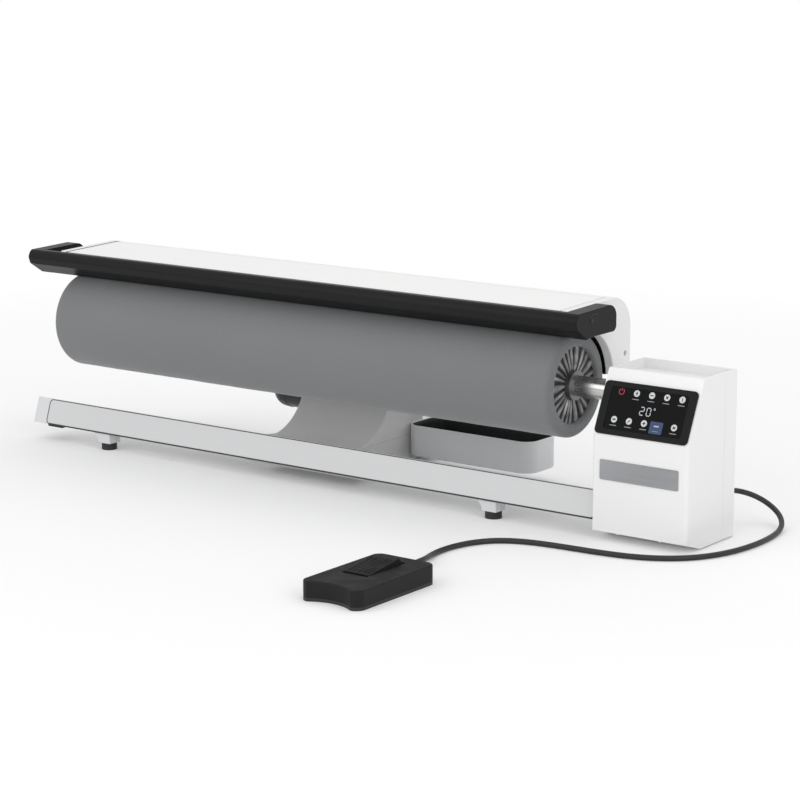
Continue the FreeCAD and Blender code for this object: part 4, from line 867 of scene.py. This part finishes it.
# ---------------- lead
@dataclass(frozen=True)
class Lead:
    """The lead from the box to the pedal, with the strain reliefs at its two ends."""

    length: float = 0.761
    diameter: float = 7.0
    route: tuple[Triple, ...] = (
        (588, 81, 46), (588, 101, 46), (594, 121.5, 42.5), (607.5, 136.5, 36), (626, 142, 27),
        (645, 137, 17), (658.5, 122, 9), (665.5, 100, 4.3), (669.5, 74, 3.6), (671.5, 46, 3.6),
        (670.5, 16, 3.6), (666, -15, 3.6), (656, -46, 3.6), (638.5, -75, 3.6), (612, -97, 3.6),
        (580, -111, 3.6), (540, -118, 3.6), (496, -121, 3.6), (456, -124.5, 3.6),
        (424, -133, 3.6), (400, -149, 3.6), (385, -173, 3.6), (377.5, -201, 3.6),
        (376.5, -228, 3.6), (381.5, -253, 4.4), (391, -275, 7), (398, -296, 9.5),
        (398, -315, 9.5))
    box_wall: Triple = (588, 59, 46)
    pedal_wall: Triple = (398, -337, 9.5)
    relief: float = 22.0
    rings: int = 7
    groove: float = 0.75
    slant: float = 0.35

    def build(self) -> None:
        """Makes the lead as one smooth spline, and its two ribbed sleeves."""
        curve = bpy.data.curves.new("pedal_lead", "CURVE")
        curve.dimensions = "3D"
        curve.bevel_depth = self.diameter * MM / 2
        curve.bevel_resolution = 6
        curve.resolution_u = 10
        spline = curve.splines.new("NURBS")
        spline.points.add(len(self.route) - 1)
        for point, spot in zip(spline.points, self.route):
            point.co = (*at(*spot), 1.0)
        spline.order_u = 3
        spline.use_endpoint_u = True
        curve.materials.append(Finishes.LEAD.build())
        lead = new_object("pedal_lead", curve)
        rides(lead, "machine", "cord_rubber", "pedal_cord")
        box_end = self.sleeve("box_sleeve", at(*self.box_wall), 8.0, 5.0, "cord_gland")
        pedal_end = self.sleeve("pedal_sleeve", at(*self.pedal_wall), 6.0, 4.6, "pedal_relief")

    def sleeve(self, name: str, foot: np.ndarray, wide: float, narrow: float,
               node: str) -> Object:
        """A tapered rubber sleeve with grooves round it, from a wall out along the lead.

        Args:
            name: the piece's name.
            foot: middle of its foot on the wall.
            wide: radius at the wall in millimetres.
            narrow: radius at its end.
            node: the solid it stands for.

        Returns:
            The sleeve.
        """
        profile = [(-2.5, 3.5), (-2.5, wide * 0.62), (0.0, wide * 0.64), (0.0, wide - 0.4),
                   (0.4, wide), (2.2, wide - 0.1), (2.6, wide - 0.7)]
        pitch = (self.relief - 6.0) / self.rings
        for ring in range(self.rings):
            start = 3.2 + pitch * ring
            middle = start + pitch * 0.5
            radius = wide + (narrow - wide) * start / self.relief - 0.15
            profile += [(start, radius - self.groove), (start + self.slant, radius),
                        (middle, radius), (middle + self.slant, radius - self.groove)]
        profile += [(self.relief - 2.2, narrow - 0.7), (self.relief - 0.8, narrow - 0.6),
                    (self.relief - 0.1, narrow - 1.0), (self.relief - 0.1, 3.5)]
        made = revolve(name, foot, BACK, profile, Finishes.RUBBER, 40)
        return rides(made, "machine", "rubber", node)


# ---------------- roller
@dataclass(frozen=True)
class Roller:
    """The covered roller and the gathered ends of its cover.

    The lip is the cover's edge at a mouth, as heights along the axis and radii past the mouth.
    The folds of a gather stray from even steps by the rates and swings of wander.
    """

    half: float = 425.0
    radius: float = 67.9
    edge: float = 8.0
    mouth: float = 50.2
    hub: float = 19.3
    lip: tuple[Pair, ...] = ((416.4, 0.0), (420.0, 0.0), (423.4, 0.7),
                                            (424.7, 2.2), (425.0, 4.4))
    columns: int = 360
    sag: float = 0.32
    wrap: float = 0.14
    pucker: float = 0.35
    folds: int = 24
    wander: tuple[Pair, ...] = ((3.0, 1.5), (7.0, 0.9))
    lean: float = 0.6
    inward: float = 0.031
    gather_foot: float = 418.9
    gather_rows: int = 22
    fold_steps: int = 18

    def profile(self) -> list[Pair]:
        """The cover's section, from one mouth over the roller to the other.

        Returns:
            Height along the axis and radius of each point.
        """
        end = [(x, self.mouth + past) for x, past in self.lip]
        middle = self.half - self.edge
        for angle in np.radians(np.linspace(0.0, 90.0, 8)):
            end.append((middle + self.edge * math.cos(angle),
                        self.radius - self.edge + self.edge * math.sin(angle)))
        straight = list(np.linspace(-middle, middle, 72)[1:-1])
        return ([(-x, r) for x, r in end] + [(x, self.radius) for x in straight]
                + [(x, r) for x, r in reversed(end)])

    def build(self) -> None:
        """Makes the cover and its two gathered ends."""
        profile = np.array(self.profile())
        count = self.columns + 1
        angle = np.linspace(0.0, TURN, count)
        x, r = profile[:, :1], profile[:, 1:]
        along = np.broadcast_to(x, (len(profile), count))
        full = np.clip((r - self.mouth - 6.0) / 11.0, 0.0, 1.0)
        sag = (0.5 + 0.28 * np.sin(along / 31.0 + 2.0 * angle) + 0.22
               * np.sin(along / 12.7 - 3.0 * angle + 1.0)) * self.sag
        wraps = self.wrap * (0.5 + 0.5 * np.cos(along / 66.0 * TURN)) ** 6
        pucker = ((1.0 - full) * self.pucker
                  * np.cos(self.folds * angle + 0.9 * np.sin(3 * angle)))
        reach = r - (sag + wraps) * full - self.pucker * (1.0 - full) + pucker
        reach = np.minimum(reach, self.radius)
        arc = np.concatenate([[0.0], np.cumsum(np.hypot(*np.diff(profile, axis=0).T))])
        uvs = np.stack(np.broadcast_arrays(angle * self.radius * MM, arc[:, None] * MM), -1)
        cover = self.cloth("roller_cover", along, reach, angle, uvs, Finishes.CLOTH)
        rides(cover, "roller", "grey_cloth", "roller_padding")
        for name, side in (("left_gather", -1.0), ("right_gather", 1.0)):
            self.gather(name, side)

    @staticmethod
    def cloth(name: str, along: np.ndarray, reach: np.ndarray, angle: np.ndarray,
              uvs: np.ndarray, finish: Finish) -> Object:
        """A cloth surface round the roller's axis, from arrays by row and column."""
        points = np.stack([along, reach * np.cos(angle), reach * np.sin(angle)], -1) * MM
        return piece(name, (points + ROLLER_AXIS).reshape(-1, 3),
                     grid_faces(*reach.shape, False), finish, True, uvs.reshape(-1, 2))

    def gather(self, name: str, side: float) -> None:
        """The cover's end, drawn into folds round the hub.

        With s from 0 at the mouth to 1 at the hub, the cloth stands out by
        a(s) cos(n t + 1.5 sin 3t + 0.9 sin 7t + 0.6 s), and a(s) is largest between the two.

        Args:
            name: the piece's name.
            side: 1 for the right end, -1 for the left.
        """
        share = np.linspace(0.0, 1.0, self.gather_rows)[:, None]
        angle = np.linspace(0.0, TURN, self.folds * self.fold_steps + 1)
        height = 0.5 + 1.5 * np.sin(math.pi * np.minimum(1.0, share * 0.92)) ** 0.8
        height = height * (0.8 + 0.2 * np.sin(5 * angle + 1.0))
        sway = sum(swing * np.sin(rate * angle) for rate, swing in self.wander)
        phase = self.folds * angle + sway + self.lean * share
        wave = np.cos(phase) + 0.25 * np.cos(2 * phase + 1.3 * np.sin(7 * angle))
        out = self.gather_foot + 0.5 * np.sin(math.pi * share) + height * wave
        reach = self.mouth + (self.hub - self.mouth) * share ** 0.9 + 0.25 * np.sin(phase * 0.5)
        uvs = np.stack(np.broadcast_arrays(angle * self.mouth * MM, share * self.inward), -1)
        made = self.cloth(name, side * out, reach, angle, uvs, Finishes.LINING)
        rides(made, "roller", "grey_cloth", "gathered_covers")


# ---------------- guard
@dataclass(frozen=True)
class Guard:
    """The release button on the finger guard's right arm, with its arrow groove."""

    face: float = 460.0
    button: Pair = (-20.7, 267.7)
    arrow: Pair = (-15.0, 269.0)
    arrow_reach: Pair = (9.0, 7.0)

    def build(self) -> None:
        """Makes the button and its groove."""
        arc = np.radians(np.linspace(165.0, 35.0, 15))
        groove = self.arrow + np.stack([np.cos(arc), np.sin(arc)], 1) * self.arrow_reach
        button = revolve("guard_button", at(self.face, *self.button), RIGHT, [
            (-0.3, TIP), (-0.3, 2.9), (0.2, 3.0), (0.7, 2.7), (0.8, 2.1), (0.35, 1.7),
            (0.3, TIP)], Finishes.BLACK, 32)
        mark = ribbon("guard_arrow", groove, Plane(at(self.face, 0, 0), BACK, UP), 0.9, -0.2,
                      0.35, Finishes.SEAL)
        rides(join("guard_release", [button, mark]), "guard", "guard_black")


# ---------------- control box
@dataclass(frozen=True)
class ControlBox:
    """The touch panel's marks, and the studs under the box's bevelled toe.

    Marks are placed in millimetres from the glass's left and up from the slope's foot.  Each
    key of upper and lower has its place across and then the strokes of its sign.
    """

    left: float = 489.5
    front: float = -59.0
    low: float = 135.0
    back: float = 36.0
    rise: float = 78.5
    glass_left: float = 11.0
    foot: float = 1.46
    disc_top: float = 1.56
    line_top: float = 1.58
    sign_top: float = 1.62
    upper_line: float = 57.1
    lower_line: float = 21.3
    power_key: float = 14.4
    upper: tuple[tuple, ...] = (
        (36.2, (0.0, 4.6), (3.0, 0.0)), (57.8, (4.6, 0.0)), (79.2, (3.2, 3.2), (3.2, -3.2)),
        (100.6, (0.0, 4.6)))
    blue_key: float = 73.6
    lower: tuple[tuple, ...] = (
        (13.1, (5.0, 0.0), (0.0, 3.0)), (34.4, (3.2, 3.2)), (55.9, (0.0, 4.4), (4.4, 0.0)),
        (98.3, (3.8, -2.8), (3.8, 2.8)))
    badge_radius: float = 4.2
    digit_place: Pair = (49.0, 36.1)
    digit_pitch: float = 9.4
    studs: tuple[float, ...] = (522, 583)
    toe_normal: Triple = (0.0, -0.295, -0.955)

    @property
    def slope(self) -> Plane:
        """The sloping face, with its origin at the face's lower left."""
        return leaning(at(self.left, self.front, self.low), self.back, self.rise)

    def build(self) -> None:
        """Makes the panel's marks, the digits and the box's studs."""
        marks = [*self.power(), *self.blue(), *self.digits()]
        for line, keys in ((self.upper_line, self.upper), (self.lower_line, self.lower)):
            for across, *runs in keys:
                marks += self.badge(across, line, runs)
        rides(join("panel_marks", marks), "machine", "panel_glass")
        studs = [revolve("stud", at(x, -52.0, 10.4), np.array(self.toe_normal), [
            (-0.5, TIP), (-0.5, 2.6), (0.4, 2.6), (1.2, 1.9), (1.4, TIP)], Finishes.ZINC, 20)
            for x in self.studs]
        rides(join("floor_screws", studs), "machine", "zinc")

    def ring(self, across: float, up: float, radius: float, width: float, finish: Finish,
             start: float = 0.0, sweep: float = 360.0) -> Object:
        """A thin printed ring or arc on the glass.

        Args:
            across: place of its middle.
            up: height of its middle.
            radius: radius of the line.
            width: width of the line.
            finish: colour of the line.
            start: where it starts, in degrees.
            sweep: how far it goes round.

        Returns:
            The ring.
        """
        whole = sweep >= 360.0
        angle = np.radians(np.linspace(start, start + sweep, 28, endpoint=not whole))
        line = np.stack([self.glass_left + across + radius * np.cos(angle),
                         up + radius * np.sin(angle)], 1)
        return ribbon("ring", line, self.slope, width, self.foot, self.line_top, finish, whole)

    def stroke(self, across: float, up: float, run: Pair, width: float,
               finish: Finish, high: float = line_top) -> Object:
        """A short straight printed line.

        Args:
            across: place of its middle.
            up: height of its middle.
            run: how far it goes across and up.
            width: width of the line.
            finish: colour of the line.
            high: how far its crown stands out of the slope.

        Returns:
            The line.
        """
        middle = np.array([self.glass_left + across, up])
        half = np.array(run) / 2
        return ribbon("stroke", np.stack([middle - half, middle, middle + half]), self.slope,
                      width, self.foot, high, finish)

    def power(self) -> list[Object]:
        """The red power key: an open ring with a bar in its gap.

        Returns:
            Its pieces.
        """
        return [self.ring(self.power_key, self.upper_line, 3.6, 1.0, Finishes.RED_MARK, 120.0,
                          300.0),
                self.stroke(self.power_key, self.upper_line + 2.8, (0.0, 3.4), 1.0,
                            Finishes.RED_MARK)]

    def badge(self, across: float, up: float, runs: list[Pair]) -> list[Object]:
        """A light round badge with a dark sign of straight strokes, over a caption's dash.

        Args:
            across: place of its middle.
            up: height of its middle.
            runs: how far each stroke of the sign goes across and up.

        Returns:
            Its pieces.
        """
        turn = np.linspace(0.0, TURN, 24, endpoint=False)
        disc = np.stack([self.glass_left + across + self.badge_radius * np.cos(turn),
                         up + self.badge_radius * np.sin(turn)], 1)
        return [prism("disc", disc, self.slope, self.foot, self.disc_top, Finishes.MARK),
                *(self.stroke(across, up, run, 1.3, Finishes.GLASS, self.sign_top)
                  for run in runs),
                self.stroke(across, up - 7.6, (9.6, 0.0), 1.1, Finishes.DIM_MARK)]

    def blue(self) -> list[Object]:
        """The blue key, with a bar for its sign and a caption's dash.

        Returns:
            Its pieces.
        """
        middle = np.array([self.glass_left + self.blue_key, self.lower_line])
        box = corners(*(middle - (9.0, 11.2)), *(middle + (9.0, 4.2)), 1.6)
        return [prism("key", box, self.slope, self.foot, self.disc_top, Finishes.BLUE_MARK),
                self.stroke(self.blue_key, self.lower_line - 1.5, (7.0, 0.0), 1.6,
                            Finishes.MARK, self.sign_top),
                self.stroke(self.blue_key, self.lower_line - 8.0, (9.0, 0.0), 0.9,
                            Finishes.DIM_MARK, self.sign_top)]

    def digits(self) -> list[Object]:
        """Two seven-segment figures and a unit ring in the middle of the glass.

        Each segment is given as its middle across and up, and whether it lies or stands.

        Returns:
            Their pieces.
        """
        segments = {"a": (0, 2, 1, 0), "b": (1, 1, 0, 1), "c": (1, -1, 0, 1), "d": (0, -2, 1, 0),
                    "e": (-1, -1, 0, 1), "f": (-1, 1, 0, 1), "g": (0, 0, 1, 0)}
        across, middle = self.digit_place
        made = []
        for number, lit in enumerate(("abged", "abcdef")):
            for x, y, wide, tall in map(segments.get, lit):
                made.append(self.stroke(across + number * self.digit_pitch + x * 2.7,
                                        middle + y * 2.5, (wide * 4.2, tall * 4.0), 1.15,
                                        Finishes.MARK))
        return [*made, self.ring(66.0, middle + 4.4, 1.1, 0.6, Finishes.MARK)]


# ---------------- base
@dataclass(frozen=True)
class Base:
    """Seal of the front beam, the bolts of its feet, and what shows on the lift motor."""

    front: float = -54.6
    low: float = 24.5
    lean: float = 12.2
    height: float = 36.0
    left: float = -458.5
    right: float = 487.7
    seam: float = 36.6
    bolts: tuple[float, ...] = (-323, 350)
    bolt_back: float = -40.0
    motor: Triple = (-62, 100.15, 92.3)
    motor_length: float = 79.0
    motor_bands: tuple[float, ...] = (16, 52)
    motor_screws: tuple[float, ...] = (30, 150, 270)

    def build(self) -> None:
        """Makes the beam's seal, the bolts and the motor's bands and screws."""
        face = leaning(at(0, self.front, self.low), self.lean, self.height)
        loop = corners(self.left, 1.0, self.right, self.seam, 6.0, 8)
        foot = [(self.left + 5, 0.9), (0.0, 0.9), (self.right - 1.0, 0.9)]
        seal = [ribbon("loop", loop, face, 1.1, -0.2, 0.45, Finishes.SEAL, True),
                ribbon("foot", foot, face, 2.0, -0.2, 0.5, Finishes.SEAL)]
        rides(join("beam_seal", seal), "machine", "guard_black")
        bolts = [screw("bolt", at(x, self.bolt_back, self.low), -UP, 3.4, 3.2, Finishes.ZINC)
                 for x in self.bolts]
        rides(join("foot_bolts", bolts), "machine", "zinc")
        end = at(*self.motor)
        trim = [revolve("band", end, -RIGHT, [
            (start, 24.6), (start, 25.3), (start + 0.4, 25.6), (start + 2.6, 25.6),
            (start + 3.0, 25.3), (start + 3.0, 24.6)], Finishes.MOTOR, 64)
            for start in self.motor_bands]
        for turn in np.radians(self.motor_screws):
            spot = end + MM * (3.6 * (math.cos(turn) * BACK + math.sin(turn) * UP)
                               - self.motor_length * RIGHT)
            trim.append(revolve("screw", spot, -RIGHT, [
                (0, TIP), (0, 1.3), (0.5, 1.1), (0.5, TIP)], Finishes.ZINC, 16))
        rides(join("lift_motor_trim", trim), "machine", "motor_black")


@dataclass(frozen=True)
class Tray:
    """The storage tray: pale walls with a rounded rim, and black inner faces that paint the shade
    inside it.

    Each loop is the tray's plan set in from its walls by the first number of its pair, at the
    height of the second.  The black inside, painted shade named the lining, runs up to the loop
    that its own number names.
    """

    left: float = 76.0
    front: float = 107.0
    right: float = 285.0
    back: float = 180.0
    corner: float = 21.0
    loops: tuple[Pair, ...] = (
        (3.0, 21.0), (0.9, 21.3), (0.0, 22.6), (0.0, 63.4), (0.35, 64.5), (1.1, 65.0),
        (1.9, 64.9), (2.5, 64.2), (2.6, 58.0), (3.2, 30.0), (5.2, 25.2), (9.0, 23.5))
    # first loop of the black inner faces, which are painted shade inside the tray
    lining: int = 7

    def build(self) -> None:
        """Makes the tray as one piece with two materials."""
        rings = []
        for inset, height in self.loops:
            flat = corners(self.left + inset, self.front + inset, self.right - inset,
                           self.back - inset, self.corner - inset, 10)
            rings.append(Plane(at(0, 0, height), RIGHT, BACK).put(flat))
        count = len(rings[0])
        faces = grid_faces(len(rings), count) + caps(len(rings), count)
        made = piece("storage_tray_walls", np.concatenate(rings), faces, Finishes.PALE_PLASTIC)
        # second material: black on the tray's inner faces as painted shade; the underside keeps its
        # own colour
        made.data.materials.append(Finishes.BLACK.build())
        inside = [number >= self.lining * count and number != len(faces) - 2
                  for number in range(len(faces))]
        made.data.polygons.foreach_set("material_index", np.array(inside, np.int32))
        rides(made, "machine", "light_grey_plastic", "storage_tray")


# ---------------- pedal
@dataclass(frozen=True)
class Pedal:
    """The grid of ribs on the treadle."""

    middle: float = 402.5
    front: float = -427.5
    low: float = 25.0
    run: float = 56.0
    rise: float = 7.5
    ribs: int = 10
    first: float = 5.0
    pitch: float = 4.8
    half: float = 15.0
    rib_top: float = 0.6
    bars: tuple[float, ...] = (-14.0, -7.0, 0.0, 7.0, 14.0)
    bar_levels: tuple[float, ...] = (4.0, 26.0, 49.2)
    bar_top: float = 0.7

    def build(self) -> None:
        """Makes the treadle's ribs across it, and the bars along it."""
        plane = leaning(at(self.middle, self.front, self.low), self.run, self.rise)
        lines = [([(side * self.half, self.first + number * self.pitch) for side in (-1, 0, 1)],
                  self.rib_top) for number in range(self.ribs)]
        lines += [([(across, level) for level in self.bar_levels], self.bar_top)
                  for across in self.bars]
        made = [ribbon("rib", line, plane, 1.9, -0.3, top, Finishes.PEDAL_BLACK)
                for line, top in lines]
        rides(join("treadle_ribs", made), "pedal_treadle", "dark_plastic")


# ---------------- finishes of the solids
SOLIDS: dict[str, Finish] = {node: finish for finish, nodes in (
    (Finishes.ZINC, "roller_drum end_discs drive_frame box_floor shoe_ribs head_beam "
                    "column_frame strip_heaters tray_bracket pedal_spring"),
    (Finishes.STEEL, "roller_shaft idler_pin hinge_shaft shaft_gear motor_pinion lift_pinion "
                     "pedal_pin"),
    (Finishes.HUB, "hub_collars"),
    (Finishes.SCREWS, "head_screws"),
    (Finishes.BRASS, "shaft_bearings idler_gear"),
    (Finishes.CASTING, "head_arm sector_gear"),
    (Finishes.ALLOY, "hot_plate"),
    (Finishes.FELT, "insulation_blanket"),
    (Finishes.MOTOR, "roller_motor lift_motor"),
    (Finishes.BOARD, "circuit_boards"),
    (Finishes.COVER, "top_cover rear_cover"),
    (Finishes.WHITE_PLASTIC, "left_side_plate right_side_plate top_pocket"),
    (Finishes.SHELL, "box_front_shell box_rear_shell"),
    (Finishes.BEZEL, "control_bezel"),
    (Finishes.GLASS, "control_glass"),
    (Finishes.PLATE, "nameplate"),
    (Finishes.GUARD_BLACK, "guard_bar left_guard_arm right_guard_arm"),
    (Finishes.SHADED_COLUMN_PAINT, "base_foot column_shell"),
    (Finishes.BEAM_PAINT, "front_beam"),
    (Finishes.PALE_PLASTIC, "beam_end_cap foot_brackets"),
    (Finishes.RUBBER, "rubber_feet"),
    (Finishes.PEDAL_BLACK, "pedal_shell pedal_pad"),
    (Finishes.BLACK, "pedal_base pedal_switch pedal_plunger mains_inlet thermostat"),
) for node in nodes.split()}


def paint_solids() -> None:
    """Gives every solid that shows as itself its finish."""
    for node, made in frame["nodes"].items():
        if made.hide_render:
            continue
        made.data.materials.clear()
        made.data.materials.append(SOLIDS[node].build())


def main() -> None:
    """Builds the looks piece by piece."""
    logging.basicConfig(level=logging.INFO)
    for part in (Studio(), Lead(), Roller(), Guard(), ControlBox(), Base(), Tray(), Pedal()):
        part.build()
        LOG.info("%s built", type(part).__name__)
    paint_solids()


if __name__ == "__main__":
    main()
